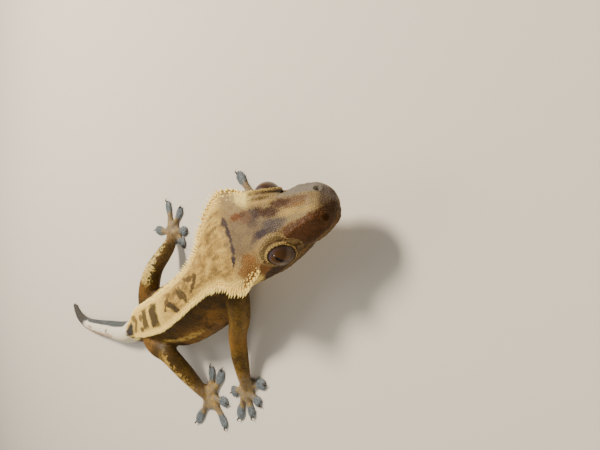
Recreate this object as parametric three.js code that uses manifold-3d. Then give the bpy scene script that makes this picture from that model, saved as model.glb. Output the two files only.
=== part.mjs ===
// Crested gecko, life size, standing still with its tail laid on the floor.
// Millimetres, +Z up, +Y towards the tail, +X to the animal's left.
// The body is drawn with x = 0, y = 0 on the floor under the back of the head, and centred at the end.
import * as THREE from "three";
import { mergeVertices } from "three/addons/utils/BufferGeometryUtils.js";
import Module from "manifold-3d";

const wasm = await Module();
wasm.setup();

// Driving dimensions
const gap = 0.3; // left between neighbouring pieces
const snoutEnd = -24.6; // front of the nose
const tailEnd = 155; // tip of the tail
const snoutRounding = 3.2; // length over which the snout closes
const tailRounding = 2.5; // length over which the tail closes
const eye = { radius: 3, at: -10.7, out: 5.6, height: 16.1, axis: [0.84, -0.34, 0.42] };
const eyeRim = { radius: 2.95, tube: 0.65, lift: 1.1 };
const nostril = { at: -22.9, out: 3, height: 14.8, radius: 0.65 };
const ear = { at: 3, out: 9.3, height: 12.6, radius: [1.1, 0.8, 1.7] };
const mouth = { from: snoutEnd, to: -3.4, depth: 0.45, lip: 0.14 };

// Where the body is divided, in places along its length
const joints = { neck: 5, shoulder: 15, waist: 50, vent: 87, tailBend: 110, tailTip: 134 };

const colours = {
  head: 0xb08d63, neck: 0xb7925a, back: 0x8a6d3c, tail: 0xd8c9a8,
  limb: 0x4f4a35, foot: 0x9a927c, eye: 0x3a2a1c,
};

// A smooth curve through [place, value] knots that never overshoots them and is level past both ends.
function curve(...knots) {
  const rise = knots.slice(1).map(([x, v], i) => (v - knots[i][1]) / (x - knots[i][0]));
  const slope = knots.map((_, i) => {
    const [before, after] = [rise[i - 1], rise[i]];
    if (before === undefined) return after;
    if (after === undefined) return before;
    return before * after > 0 ? (2 * before * after) / (before + after) : 0;
  });
  return (x) => {
    if (x <= knots[0][0]) return knots[0][1];
    if (x >= knots.at(-1)[0]) return knots.at(-1)[1];
    const i = knots.findIndex(([at]) => at > x) - 1;
    const width = knots[i + 1][0] - knots[i][0];
    const t = (x - knots[i][0]) / width;
    const [a, b] = [knots[i][1], knots[i + 1][1]];
    return a * (1 + 2 * t) * (1 - t) ** 2 + b * t * t * (3 - 2 * t)
      + width * (slope[i] * t * (1 - t) ** 2 - slope[i + 1] * t * t * (1 - t));
  };
}

// The trunk along its length: middle line, height of back and belly, half-width and half-width of the crest
const middle = curve([-25, -1.4], [-10, -0.1], [0, 0.8], [6, 0.6], [14, -0.8], [24, -2.7], [33, -3.6],
  [43, -3.9], [56, -3], [70, -1.6], [84, -0.85], [92, -0.7], [102, 1.2], [115, 5.2], [132, 10.6], [142, 14.6],
  [150, 20], [155, 27.2]);
const back = curve([-25, 15.4], [-21, 16.9], [-14.5, 18.4], [-10.5, 19.9], [-6, 19.8], [0, 20.2], [5, 20.1],
  [17, 18.6], [30, 17.8], [46, 16], [68, 12], [78, 9.8], [88, 7.4], [102, 6.4], [132, 4.1], [148, 2.8],
  [155, 1.6]);
const belly = curve([-25, 10], [-21, 8.2], [-13, 7.2], [6, 7.2], [12, 6.4], [20, 4.2], [30, 2.8], [46, 2.5],
  [60, 2.7], [76, 2.3], [88, 1.4], [98, 0.3], [104, 0]);
const halfWidth = curve([-25, 3.2], [-22, 4.5], [-19, 5.4], [-16.5, 5.9], [-14.6, 5.8], [-12.5, 6.6],
  [-10, 7.5], [-2, 9.6], [1, 9.9], [4, 9], [10, 6.9], [14, 7], [20, 8.2], [30, 9.3], [42, 9.7], [52, 9.3],
  [64, 7.5], [82, 5.5], [89, 4.1], [102, 3.9], [115, 3.5], [132, 2.9], [148, 2.1], [155, 1.2]);
const crestWidth = curve([-25, 1.8], [-17, 3.5], [-14.5, 4.4], [-11, 6.4], [-8, 7], [-4, 9.2], [1, 11.5],
  [5, 10.5], [9, 8], [13, 6.4], [18, 4.9], [26, 4.3], [45, 4.8], [62, 4.8], [72, 4.2], [88, 2.4], [132, 1.6],
  [155, 0.7]);
const crestDrop = curve([-25, 0.4], [-10, 0.3], [-7, 1.2], [-4, 2.4], [0, 1.8], [5, 1.3], [10, 0.9],
  [100, 0.7]);
const sway = curve([14, 0], [28, -1.3], [48, -1.1], [60, -0.4], [72, 0]); // how far the belly lies sideways

// Shares of the section's height and half-width at its widest level, the lips and the jaw or lower flank
const sideLevel = curve([-25, 0.62], [-9, 0.63], [2, 0.6], [14, 0.56], [24, 0.5], [88, 0.46], [155, 0.5]);
const lipLevel = curve([-25, 0.32], [-18, 0.34], [-6, 0.29], [2, 0.3], [14, 0.24], [30, 0.18]);
const lipShare = curve([-25, 0.84], [-18, 0.92], [-12, 0.99], [-6, 0.98], [5, 0.88], [14, 0.95]);
const jawLevel = curve([-25, 0.09], [6, 0.09], [20, 0.06], [88, 0.05], [104, 0]);
const jawShare = curve([-25, 0.55], [-16, 0.76], [-6, 0.83], [8, 0.75], [60, 0.78], [100, 0.68]);

// A place on the trunk, from its length along the body, sideways distance and height.
function place(along, sideways, height) {
  const bend = middle(along + 0.5) - middle(along - 0.5);
  const length = Math.hypot(1, bend);
  return new THREE.Vector3(middle(along) + sideways / length, along - (sideways * bend) / length, height);
}

// How far the section is open near the snout and the tail tip, from 0 to 1.
function opening(along) {
  const fromSnout = Math.min(1, (along - snoutEnd) / snoutRounding);
  const fromTail = Math.min(1, (tailEnd - along) / tailRounding);
  const round = (share) => Math.sqrt(Math.max(0, 1 - (1 - share) ** 2));
  return round(fromSnout) * round(fromTail);
}

// Half of the trunk's section, as [sideways, height] from the middle of the back to that of the belly.
function halfSection(along, { dome, side }, grow = 0) {
  const [top, bottom, wide] = [back(along), belly(along), halfWidth(along)];
  const level = (share) => bottom + share * (top - bottom);
  const crest = [crestWidth(along), top - crestDrop(along)];
  const corners = [
    crest,
    [wide, level(sideLevel(along))],
    [wide * lipShare(along), level(lipLevel(along))],
    [wide * jawShare(along), level(jawLevel(along))],
    [0, bottom],
  ].map(([w, z]) => new THREE.Vector2(w, z));
  const flank = new THREE.SplineCurve(corners);
  const overBack = dome.map((share) => [crest[0] * share, top - crestDrop(along) * share ** 2]);
  const downFlank = side.map((share) => {
    const point = flank.getPoint(share / (corners.length - 1));
    return [Math.max(0, point.x) + lipRelief(along, share), point.y];
  });
  const open = opening(along);
  const centre = level(0.5);
  return [...overBack, ...downFlank].map(([w, z]) => {
    const reach = Math.hypot(w, z - centre) || 1;
    const scale = open + grow / reach;
    return [w * scale, Math.max(0, centre + (z - centre) * scale)];
  });
}

// The mouth is a groove between two lips, on the third corner of the section.
function lipRelief(along, share) {
  if (along > mouth.to) return 0;
  const fade = Math.min(1, (mouth.to - along) / 2);
  const fromLine = Math.abs(share - 2);
  if (fromLine < 0.01) return -mouth.depth * fade;
  return fromLine < 0.15 ? mouth.lip * fade : 0;
}

const fine = {
  dome: [0, 0.25, 0.5, 0.75],
  side: [0, 0.35, 0.7, 1, 1.4, 1.7, 1.88, 2, 2.12, 2.45, 3, 3.5, 4],
};
const plain = { dome: [0, 0.5], side: [0, 0.5, 1, 1.5, 2, 2.6, 3, 3.5, 4] };

// A whole section, as a ring of places.
function trunkRing(along, detail, grow) {
  const half = halfSection(along, detail, grow);
  const hang = (z) => sway(along) * (1 - (z - belly(along)) / (back(along) - belly(along)));
  const left = half.map(([w, z]) => place(along, w + hang(z), z));
  const right = half.slice(1, -1).reverse().map(([w, z]) => place(along, hang(z) - w, z));
  return [...left, ...right];
}

// A closed body through rings of equal count, with flat ends.
function loft(rings) {
  const count = rings[0].length;
  const places = rings.flat();
  const faces = [];
  for (let r = 0; r + 1 < rings.length; r++)
    for (let i = 0; i < count; i++) {
      const [a, b] = [r * count + i, r * count + ((i + 1) % count)];
      faces.push(a, b, b + count, a, b + count, a + count);
    }
  for (const r of [0, rings.length - 1]) {
    const hub = places.length;
    places.push(rings[r].reduce((sum, p) => sum.add(p), new THREE.Vector3()).divideScalar(count));
    for (let i = 0; i < count; i++) {
      const edge = [r * count + i, r * count + ((i + 1) % count)];
      faces.push(hub, ...(r === 0 ? edge.reverse() : edge));
    }
  }
  const geometry = new THREE.BufferGeometry().setFromPoints(places);
  geometry.setIndex(faces);
  return solidOf(geometry);
}

// A geometry as a solid, turned right side out if its faces point inwards.
function solidOf(geometry) {
  const bare = geometry.clone();
  bare.deleteAttribute("normal");
  bare.deleteAttribute("uv");
  const merged = mergeVertices(bare, 1e-4);
  const triVerts = new Uint32Array(merged.index.array);
  const vertProperties = new Float32Array(merged.attributes.position.array);
  if (signedVolume(vertProperties, triVerts) < 0)
    for (let i = 0; i < triVerts.length; i += 3)
      [triVerts[i + 1], triVerts[i + 2]] = [triVerts[i + 2], triVerts[i + 1]];
  return new wasm.Manifold(new wasm.Mesh({ numProp: 3, vertProperties, triVerts }));
}

function signedVolume(positions, faces) {
  const corner = (i) => new THREE.Vector3().fromArray(positions, 3 * faces[i]);
  let sum = 0;
  for (let i = 0; i < faces.length; i += 3) sum += corner(i).dot(corner(i + 1).cross(corner(i + 2)));
  return sum / 6;
}

const join = (...solids) => wasm.Manifold.union(solids.flat());
const largest = (solid) => solid.decompose().sort((a, b) => b.volume() - a.volume())[0];
const floorBlock = solidOf(new THREE.BoxGeometry(600, 600, 60).translate(0, 0, -30));

// A ball, stretched to three half-sizes.
function ball(centre, [x, y, z], around = 16, down = 10) {
  const shape = new THREE.SphereGeometry(1, around, down).rotateX(Math.PI / 2).scale(x, y, z);
  return solidOf(shape.translate(...centre));
}

// A tapered spine or claw whose root is sunk below the surface it grows from.
function spike(root, direction, length, width, sides = 4, sunk = 0.6) {
  const way = direction.clone().normalize();
  const shape = new THREE.ConeGeometry(width / 2, length + sunk, sides);
  shape.translate(0, (length - sunk) / 2, 0);
  shape.applyQuaternion(new THREE.Quaternion().setFromUnitVectors(new THREE.Vector3(0, 1, 0), way));
  return solidOf(shape.translate(root.x, root.y, root.z));
}

// Trunk pieces
function trunkPiece(from, to, step, detail, grow = 0) {
  const count = Math.max(2, Math.ceil((to - from) / step));
  const stops = Array.from({ length: count + 1 }, (_, i) => from + ((to - from) * i) / count);
  return loft(stops.map((along) => trunkRing(along, detail, grow)));
}

function headShell() {
  const closing = [0.03, 0.2, 0.55, 1.1, 1.8, 2.5].map((reach) => snoutEnd + reach);
  const from = snoutEnd + 3.3;
  const to = joints.neck - gap / 2;
  const count = Math.ceil((to - from) / 1.35);
  const rest = Array.from({ length: count + 1 }, (_, i) => from + ((to - from) * i) / count);
  return loft([...closing, ...rest].map((along) => trunkRing(along, fine)));
}

function tailPiece() {
  const closing = [2.4, 1.5, 0.8, 0.3, 0.04].map((reach) => tailEnd - reach);
  const from = joints.tailTip + gap / 2;
  const rest = Array.from({ length: 7 }, (_, i) => from + (tailEnd - 3.2 - from) * (i / 6));
  return loft([...rest, ...closing].map((along) => trunkRing(along, plain)));
}

// Eyes
function eyeCentre(side) {
  return place(eye.at, side * eye.out, eye.height);
}
function eyeAxis(side) {
  const [out, tailward, up] = eye.axis;
  return new THREE.Vector3(out * side, tailward, up).normalize();
}

function rimRing(side) {
  const shape = new THREE.TorusGeometry(eyeRim.radius, eyeRim.tube, 6, 18);
  const upright = new THREE.Vector3(0, 0, 1);
  shape.applyQuaternion(new THREE.Quaternion().setFromUnitVectors(upright, eyeAxis(side)));
  const centre = eyeCentre(side).addScaledVector(eyeAxis(side), eyeRim.lift);
  return solidOf(shape.translate(centre.x, centre.y, centre.z));
}

// Spines of the crest, which runs from behind each eye over the corner of the head and along the back
const crest = { from: -4.2, to: 62, spacing: 1.75, width: 1.05 };
const crestLength = curve([-4, 0.8], [1, 1.5], [8, 1.4], [20, 1.2], [45, 1.0], [62, 0.6]);

function crestSpines(from, to) {
  const spines = [];
  for (let along = crest.from; along < crest.to; along += crest.spacing) {
    if (along < from + 0.6 || along > to - 0.6) continue;
    for (const side of [-1, 1]) {
      const stagger = along + (side > 0 ? 0.3 : 0);
      const root = place(stagger, side * (crestWidth(stagger) - 0.15), back(stagger) - crestDrop(stagger));
      const direction = new THREE.Vector3(side, 0.15 + 0.04 * Math.sin(5 * stagger), 0.45);
      spines.push(spike(root, direction, crestLength(stagger), crest.width));
    }
  }
  return spines;
}

// Spines over each eye, like lashes
function lashes() {
  const count = 6;
  const spines = [];
  for (const side of [-1, 1]) {
    const axis = eyeAxis(side);
    const forward = new THREE.Vector3(0, -1, 0).addScaledVector(axis, axis.y).normalize();
    const up = new THREE.Vector3().crossVectors(forward, axis).multiplyScalar(side);
    for (let i = 0; i < count; i++) {
      const turn = THREE.MathUtils.degToRad(35 + (125 * i) / (count - 1));
      const outward = forward.clone().multiplyScalar(Math.cos(turn));
      outward.addScaledVector(up, Math.abs(Math.sin(turn)));
      const root = eyeCentre(side).addScaledVector(axis, eyeRim.lift)
        .addScaledVector(outward, eyeRim.radius + eyeRim.tube * 0.7);
      spines.push(spike(root, outward.addScaledVector(axis, 0.7), 0.9, 0.9));
    }
  }
  return spines;
}

// Head
function makeHead() {
  const spines = [crestSpines(crest.from - 1, joints.neck), lashes()];
  let solid = join(headShell(), rimRing(-1), rimRing(1), ...spines);
  for (const side of [-1, 1]) {
    solid = solid.subtract(ball(eyeCentre(side).toArray(), Array(3).fill(eye.radius + gap), 16, 12));
    const nostrilPlace = place(nostril.at, side * nostril.out, nostril.height).toArray();
    const nostrilSize = [nostril.radius, nostril.radius * 1.3, nostril.radius];
    solid = solid.subtract(ball(nostrilPlace, nostrilSize, 8, 6));
    solid = solid.subtract(ball(place(ear.at, side * ear.out, ear.height).toArray(), ear.radius, 10, 6));
  }
  return largest(solid);
}

// Limbs: places from the root inside the trunk, past the bend, to the hand or foot, each with its radius
const arms = {
  right: {
    line: [[-5, 12, 12.8], [-9, 13.8, 11.4], [-13.4, 18.4, 8.9], [-17, 24.8, 6.3], [-21.5, 28.8, 4.4],
      [-26.3, 31.4, 3], [-30.6, 34.4, 1.3]],
    radius: [3, 3.2, 2.9, 2.6, 2.5, 2.1, 1.1],
    palm: [-30.6, 35.2],
    toes: [
      { knuckle: [-29.6, 31], tip: [-31.1, 26.3] },
      { knuckle: [-32.9, 33.2], tip: [-36, 30.9] },
      { knuckle: [-34, 35.6], tip: [-38.9, 36.2] },
      { knuckle: [-33.4, 38.2], tip: [-38.4, 42.9] },
      { knuckle: [-30.4, 38.8], tip: [-30.7, 43.3] },
    ],
  },
  left: {
    line: [[2, 13, 12.8], [6.3, 14.6, 11.3], [9.8, 17.4, 8.6], [12.4, 18.2, 5.8], [13.4, 15.4, 4.3],
      [13.8, 12.6, 3.1], [14.3, 9.6, 1.3]],
    radius: [3, 3.2, 2.8, 2.6, 2.4, 2.1, 1.1],
    palm: [14.4, 9.6],
    toes: [
      { knuckle: [11, 8.6], tip: [7.2, 6.6] },
      { knuckle: [12.4, 6.6], tip: [10.2, 2.2] },
      { knuckle: [14.4, 6.2], tip: [14.4, 1.4] },
      { knuckle: [16, 7.6], tip: [16.4, 4.8] },
      { knuckle: [18.8, 11.4], tip: [25.2, 14] },
    ],
  },
};
const legs = {
  right: {
    line: [[-2.5, 69.5, 7.2], [-6.6, 66.6, 8.4], [-10.8, 62.2, 9.4], [-14.6, 57.2, 9.4], [-20.4, 56.4, 6.3],
      [-26.3, 55.6, 3.2], [-30.4, 55, 1.3]],
    radius: [3.4, 3.7, 3.5, 2.9, 2.7, 2.1, 1.1],
    palm: [-30.2, 54.8],
    toes: [
      { knuckle: [-27, 51.4], tip: [-21.4, 49.9] },
      { knuckle: [-28.4, 49.2], tip: [-23.6, 44.4] },
      { knuckle: [-31.6, 50.2], tip: [-33.6, 45.9] },
      { knuckle: [-34.6, 50.6], tip: [-40.5, 50.6] },
      { knuckle: [-33, 58], tip: [-36.9, 66.7] },
    ],
  },
  left: {
    line: [[0.2, 67, 7.2], [4.6, 63.6, 8.4], [8.6, 59.2, 9], [11.8, 54.4, 8.9], [15.4, 52.6, 6],
      [18.8, 51.6, 3.2], [23, 52.8, 1.3]],
    radius: [3.4, 3.6, 3.4, 2.9, 2.7, 2.1, 1.1],
    palm: [23, 53],
    toes: [
      { knuckle: [19.8, 49.6], tip: [15.8, 48.4] },
      { knuckle: [22, 48.8], tip: [19.8, 44.6] },
      { knuckle: [25.6, 49], tip: [28.5, 44.4] },
      { knuckle: [27.8, 52.4], tip: [34.4, 52] },
      { knuckle: [25, 57], tip: [28.4, 64.4] },
    ],
  },
};
const cuts = { bend: 0.5, wrist: 5 / 6 }; // shares of a limb's line

function limbCurve({ line }) {
  return new THREE.CatmullRomCurve3(line.map((p) => new THREE.Vector3(...p)));
}

// Radius along a limb; its curve passes each place at an equal share.
function limbRadius({ radius }) {
  return curve(...radius.map((r, i) => [i / (radius.length - 1), r]));
}

function limbLoft(limb) {
  const line = limbCurve(limb);
  const thickness = limbRadius(limb);
  const sides = 12;
  const stops = Array.from({ length: 17 }, (_, i) => i / 16);
  return loft(stops.map((share) => {
    const way = line.getTangent(share);
    const across = new THREE.Vector3().crossVectors(way, new THREE.Vector3(0, 0, 1)).normalize();
    const up = new THREE.Vector3().crossVectors(across, way);
    const radius = thickness(share);
    return Array.from({ length: sides }, (_, i) => {
      const turn = (2 * Math.PI * i) / sides;
      return line.getPoint(share).addScaledVector(across, radius * Math.cos(turn))
        .addScaledVector(up, 0.92 * radius * Math.sin(turn));
    });
  }));
}

// One end of a limb, beyond or before a cut across its line.
function endOf(solid, limb, share, beyond) {
  const line = limbCurve(limb);
  const way = line.getTangent(share).multiplyScalar(beyond ? 1 : -1);
  return solid.trimByPlane(way.toArray(), way.dot(line.getPoint(share)) + gap / 2);
}

// Toes: a slim digit, a broad pad under the tip and a small claw above it, all flat underneath
const toe = {
  width: curve([0, 1.5], [0.3, 1.15], [0.5, 0.95], [0.64, 1.2], [0.8, 1.65], [0.92, 1.25], [1, 0.4]),
  height: curve([0, 1.9], [0.4, 1.6], [0.7, 1.25], [1, 0.7]),
};
const claw = { length: 1.3, width: 0.7, height: 0.45, sunk: 0.9 };
const palm = { hand: 6.6, foot: 8.6, level: 0.5, halfHeight: 2 };

function toeLoft(root, { knuckle, tip }, grow = 0) {
  const corners = [root, knuckle, tip].map(([x, y]) => new THREE.Vector3(x, y, 0));
  const line = new THREE.QuadraticBezierCurve3(...corners);
  const stops = [0, 0.25, 0.48, 0.64, 0.8, 0.92, 1];
  const outline = [[-1, 0], [-0.88, 0.6], [0, 1], [0.88, 0.6], [1, 0]];
  return loft(stops.map((share) => {
    const way = line.getTangent(share);
    const centre = line.getPoint(share);
    const [wide, high] = [toe.width(share) + grow, toe.height(share) + grow];
    const across = new THREE.Vector3(way.y * wide, -way.x * wide, 0);
    return outline.map(([w, z]) => centre.clone().addScaledVector(across, w).setZ(z * high));
  }));
}

function toeClaw({ knuckle, tip }) {
  const way = new THREE.Vector3(tip[0] - knuckle[0], tip[1] - knuckle[1], 0).normalize();
  const root = new THREE.Vector3(...tip, claw.height).addScaledVector(way, -0.3);
  return spike(root, way.clone().setZ(0.12), claw.length, claw.width, 5, claw.sunk);
}

function footSolid(limb, across) {
  const pad = ball([...limb.palm, palm.level], [across / 2, across / 2, palm.halfHeight], 16, 8);
  const toes = limb.toes.map((digit) => join(toeLoft(limb.palm, digit), toeClaw(digit)));
  const wristEnd = endOf(limbLoft(limb), limb, cuts.wrist, true);
  const body = join(endOf(pad, limb, cuts.wrist, true), wristEnd).subtract(floorBlock);
  return largest(join(body, toes));
}

const trunkWithGap = trunkPiece(8, 96, 3, plain, gap);

function limbPieces(limb, palmAcross) {
  const whole = limbLoft(limb).subtract(trunkWithGap);
  const toesWithGap = join(limb.toes.map((digit) => toeLoft(limb.palm, digit, gap)));
  const upper = endOf(whole, limb, cuts.bend, false);
  const lower = endOf(endOf(whole, limb, cuts.bend, true), limb, cuts.wrist, false).subtract(toesWithGap);
  return [largest(upper), largest(lower.subtract(floorBlock)), footSolid(limb, palmAcross)];
}

// Assembly
const gecko = new THREE.Group();

function add(name, solid, colour, roughness = 0.7) {
  const { vertProperties, triVerts } = solid.getMesh();
  const geometry = new THREE.BufferGeometry();
  geometry.setAttribute("position", new THREE.BufferAttribute(new Float32Array(vertProperties), 3));
  geometry.setIndex(new THREE.BufferAttribute(new Uint32Array(triVerts), 1));
  geometry.computeVertexNormals();
  const material = new THREE.MeshStandardMaterial({ color: colour, roughness, metalness: 0 });
  const mesh = new THREE.Mesh(geometry, material);
  mesh.name = name;
  gecko.add(mesh);
}

// A length of trunk between two joints, with its crest spines.
function addTrunk(name, from, to, step, colour, detail = plain) {
  const solid = join(trunkPiece(from + gap / 2, to - gap / 2, step, detail), crestSpines(from, to));
  add(name, largest(solid), colour);
}

add("head", makeHead(), colours.head);
add("eye_left", ball(eyeCentre(1).toArray(), Array(3).fill(eye.radius), 14, 10), colours.eye, 0.05);
add("eye_right", ball(eyeCentre(-1).toArray(), Array(3).fill(eye.radius), 14, 10), colours.eye, 0.05);
addTrunk("neck", joints.neck, joints.shoulder, 2, colours.neck);
addTrunk("torso_front", joints.shoulder, joints.waist, 3, colours.back);
addTrunk("torso_rear", joints.waist, joints.vent, 3, colours.back);
addTrunk("tail_base", joints.vent, joints.tailBend, 3.2, colours.tail);
addTrunk("tail_middle", joints.tailBend, joints.tailTip, 4, colours.tail);
add("tail_tip", tailPiece(), colours.tail);

for (const [side, limb] of Object.entries(arms)) {
  const [upper, lower, end] = limbPieces(limb, palm.hand);
  add(`upper_arm_${side}`, upper, colours.limb);
  add(`forearm_${side}`, lower, colours.limb);
  add(`hand_${side}`, end, colours.foot);
}
for (const [side, limb] of Object.entries(legs)) {
  const [upper, lower, end] = limbPieces(limb, palm.foot);
  add(`thigh_${side}`, upper, colours.limb);
  add(`shin_${side}`, lower, colours.limb);
  add(`foot_${side}`, end, colours.foot);
}

// The model's own origin is on the floor under the centre of its outline.
const centre = new THREE.Box3().setFromObject(gecko).getCenter(new THREE.Vector3());
gecko.position.set(-centre.x, -centre.y, 0);
const model = new THREE.Group();
model.add(gecko);

export default model;
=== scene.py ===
import math
import random

import bmesh
import bpy
import numpy as np
from mathutils import Matrix, Vector
from mathutils.bvhtree import BVHTree
from mathutils.kdtree import KDTree


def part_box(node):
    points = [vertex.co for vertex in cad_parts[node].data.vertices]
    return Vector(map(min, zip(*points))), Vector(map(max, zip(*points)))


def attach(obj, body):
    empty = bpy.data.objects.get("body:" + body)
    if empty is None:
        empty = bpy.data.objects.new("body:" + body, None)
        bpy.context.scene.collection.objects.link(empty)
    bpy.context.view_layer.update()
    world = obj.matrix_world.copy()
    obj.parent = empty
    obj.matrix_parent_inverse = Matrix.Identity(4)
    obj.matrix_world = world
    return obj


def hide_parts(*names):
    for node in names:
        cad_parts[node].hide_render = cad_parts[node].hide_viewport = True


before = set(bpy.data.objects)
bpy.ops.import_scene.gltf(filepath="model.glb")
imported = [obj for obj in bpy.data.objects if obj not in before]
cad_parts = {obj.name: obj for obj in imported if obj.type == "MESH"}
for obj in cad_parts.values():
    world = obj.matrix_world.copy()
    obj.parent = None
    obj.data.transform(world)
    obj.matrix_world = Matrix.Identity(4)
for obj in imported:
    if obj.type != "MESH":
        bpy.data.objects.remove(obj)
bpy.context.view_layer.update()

# Lengths are millimetres in the drawing's own axes: x to the animal's left, y towards the tail, z up,
# with x = y = 0 under the back of the head. toFrame turns them into the frame's metres.
mm = 0.001

trunk = {
    "snoutEnd": -24.6, "tailEnd": 155.0, "snoutRounding": 3.2, "tailRounding": 2.5,
    "middle": [(-25, -1.4), (-10, -0.1), (0, 0.8), (6, 0.6), (14, -0.8), (24, -2.7), (33, -3.6),
               (43, -3.9), (56, -3), (70, -1.6), (84, -0.85), (92, -0.7), (102, 1.2), (115, 5.2),
               (132, 10.6), (142, 14.6), (150, 20), (155, 27.2)],
    "back": [(-25, 15.4), (-21, 16.9), (-14.5, 18.4), (-10.5, 19.9), (-6, 19.8), (0, 20.2), (5, 20.1),
             (17, 18.6), (30, 17.8), (46, 16), (68, 12), (78, 9.8), (88, 7.4), (102, 6.4), (132, 4.1),
             (148, 2.8), (155, 1.6)],
    "belly": [(-25, 10), (-21, 8.2), (-13, 7.2), (6, 7.2), (12, 6.4), (20, 4.2), (30, 2.8), (46, 2.5),
              (60, 2.7), (76, 2.3), (88, 1.4), (98, 0.3), (104, 0)],
    "halfWidth": [(-25, 3.2), (-22, 4.5), (-19, 5.4), (-16.5, 5.9), (-14.6, 5.8), (-12.5, 6.6),
                  (-10, 7.5), (-2, 9.6), (1, 9.9), (4, 9), (10, 6.9), (14, 7), (20, 8.2), (30, 9.3),
                  (42, 9.7), (52, 9.3), (64, 7.5), (82, 5.5), (89, 4.1), (102, 3.9), (115, 3.5),
                  (132, 2.9), (148, 2.1), (155, 1.2)],
    "crestWidth": [(-25, 1.8), (-17, 3.5), (-14.5, 4.4), (-11, 6.4), (-8, 7), (-4, 9.2), (1, 11.5),
                   (5, 10.5), (9, 8), (13, 6.4), (18, 4.9), (26, 4.3), (45, 4.8), (62, 4.8), (72, 4.2),
                   (88, 2.4), (132, 1.6), (155, 0.7)],
    "crestDrop": [(-25, 0.4), (-10, 0.3), (-7, 1.2), (-4, 2.4), (0, 1.8), (5, 1.3), (10, 0.9), (100, 0.7)],
    "sway": [(14, 0), (28, -1.3), (48, -1.1), (60, -0.4), (72, 0)],
    "sideLevel": [(-25, 0.62), (-9, 0.63), (2, 0.6), (14, 0.56), (24, 0.5), (88, 0.46), (155, 0.5)],
    "lipLevel": [(-25, 0.32), (-18, 0.34), (-6, 0.29), (2, 0.3), (14, 0.24), (30, 0.18)],
    "lipShare": [(-25, 0.84), (-18, 0.92), (-12, 0.99), (-6, 0.98), (5, 0.88), (14, 0.95)],
    "jawLevel": [(-25, 0.09), (6, 0.09), (20, 0.06), (88, 0.05), (104, 0)],
    "jawShare": [(-25, 0.55), (-16, 0.76), (-6, 0.83), (8, 0.75), (60, 0.78), (100, 0.68)],
}
# The head is rolled a little, so the right eye looks higher than the left
eye = {"radius": 3.0, "at": -10.7, "out": 5.6, "height": 16.1,
       "axis": {-1: (-0.84, -0.34, 0.42), 1: (0.95, -0.3, 0.06)}}


# A smooth curve through (place, value) knots that never overshoots them and is level past both ends
def knotCurve(knots):
    places, values = np.array(knots, float).T
    rise = np.diff(values) / np.diff(places)
    before, after = rise[:-1], rise[1:]
    total = np.where(before + after == 0, 1, before + after)
    inner = np.where(before * after > 0, 2 * before * after / total, 0)
    slope = np.concatenate([rise[:1], inner, rise[-1:]])

    def value(x):
        x = np.clip(np.asarray(x, float), places[0], places[-1])
        i = np.clip(np.searchsorted(places, x, side="right") - 1, 0, len(places) - 2)
        width = places[i + 1] - places[i]
        t = (x - places[i]) / width
        return (values[i] * (1 + 2 * t) * (1 - t) ** 2 + values[i + 1] * t * t * (3 - 2 * t)
                + width * (slope[i] * t * (1 - t) ** 2 - slope[i + 1] * t * t * (1 - t)))
    return value


profile = {name: knotCurve(knots) for name, knots in trunk.items() if isinstance(knots, list)}


def smoothStep(x, low, high):
    t = np.clip((x - low) / (high - low), 0, 1)
    return t * t * (3 - 2 * t)


def smoothFall(x, low, high):
    return 1 - smoothStep(x, low, high)


# A curve from a to b at share t, which leaves with slope u and arrives with slope v
def curved(a, b, u, v, t):
    return (2 * a - 2 * b + u + v) * t ** 3 + (3 * b - 3 * a - 2 * u - v) * t ** 2 + u * t + a


# A place on the trunk, from its length along the body, sideways distance and height
def place(along, sideways, height):
    along = np.asarray(along, float)
    bend = profile["middle"](along + 0.5) - profile["middle"](along - 0.5)
    length = np.hypot(1, bend)
    x = profile["middle"](along) + sideways / length
    y = along - sideways * bend / length
    return np.stack(np.broadcast_arrays(x, y, height), -1)


# How far the section is open near the snout and the tail tip, from 0 to 1
def opening(along):
    fromSnout = np.minimum(1, (along - trunk["snoutEnd"]) / trunk["snoutRounding"])
    fromTail = np.minimum(1, (trunk["tailEnd"] - along) / trunk["tailRounding"])
    snout, tail = (np.sqrt(np.maximum(0, 1 - (1 - share) ** 2)) for share in (fromSnout, fromTail))
    return snout * tail


# Half of a section as sideways distance and height. around is 0 on the middle of the back,
# 1 on the crest, 2 at the widest level, 3 on the lips, 4 on the jaw and 5 on the middle of the belly.
def halfSection(along, around):
    along, around = np.broadcast_arrays(np.asarray(along, float), np.asarray(around, float))
    at = {name: curve(along) for name, curve in profile.items()}

    def level(share):
        return at["belly"] + share * (at["back"] - at["belly"])
    wide = np.stack([at["crestWidth"], at["halfWidth"], at["halfWidth"] * at["lipShare"],
                     at["halfWidth"] * at["jawShare"], 0 * along])
    high = np.stack([at["back"] - at["crestDrop"], level(at["sideLevel"]), level(at["lipLevel"]),
                     level(at["jawLevel"]), at["belly"]])
    span = np.clip(around - 1, 0, 4)
    i = np.clip(np.floor(span).astype(int), 0, 3)
    t = span - i

    def through(corners):
        pick = [np.take_along_axis(corners, np.clip(i + k, 0, 4)[None], 0)[0] for k in (-1, 0, 1, 2)]
        return curved(pick[1], pick[2], (pick[2] - pick[0]) / 2, (pick[3] - pick[1]) / 2, t)
    onBack = np.clip(around, 0, 1)
    sideways = np.where(around < 1, at["crestWidth"] * onBack, np.maximum(0, through(wide)))
    height = np.where(around < 1, at["back"] - at["crestDrop"] * onBack ** 2, through(high))
    centre, share = level(0.5), opening(along)
    return sideways * share, np.maximum(0, centre + (height - centre) * share)


# The trunk's surface. around is negative on the right side.
def trunkSurface(along, around):
    sideways, height = halfSection(along, np.abs(around))
    low, top = profile["belly"](along), profile["back"](along)
    hang = profile["sway"](along) * (1 - (height - low) / (top - low))
    return place(along, np.sign(around) * sideways + hang, height)


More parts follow.
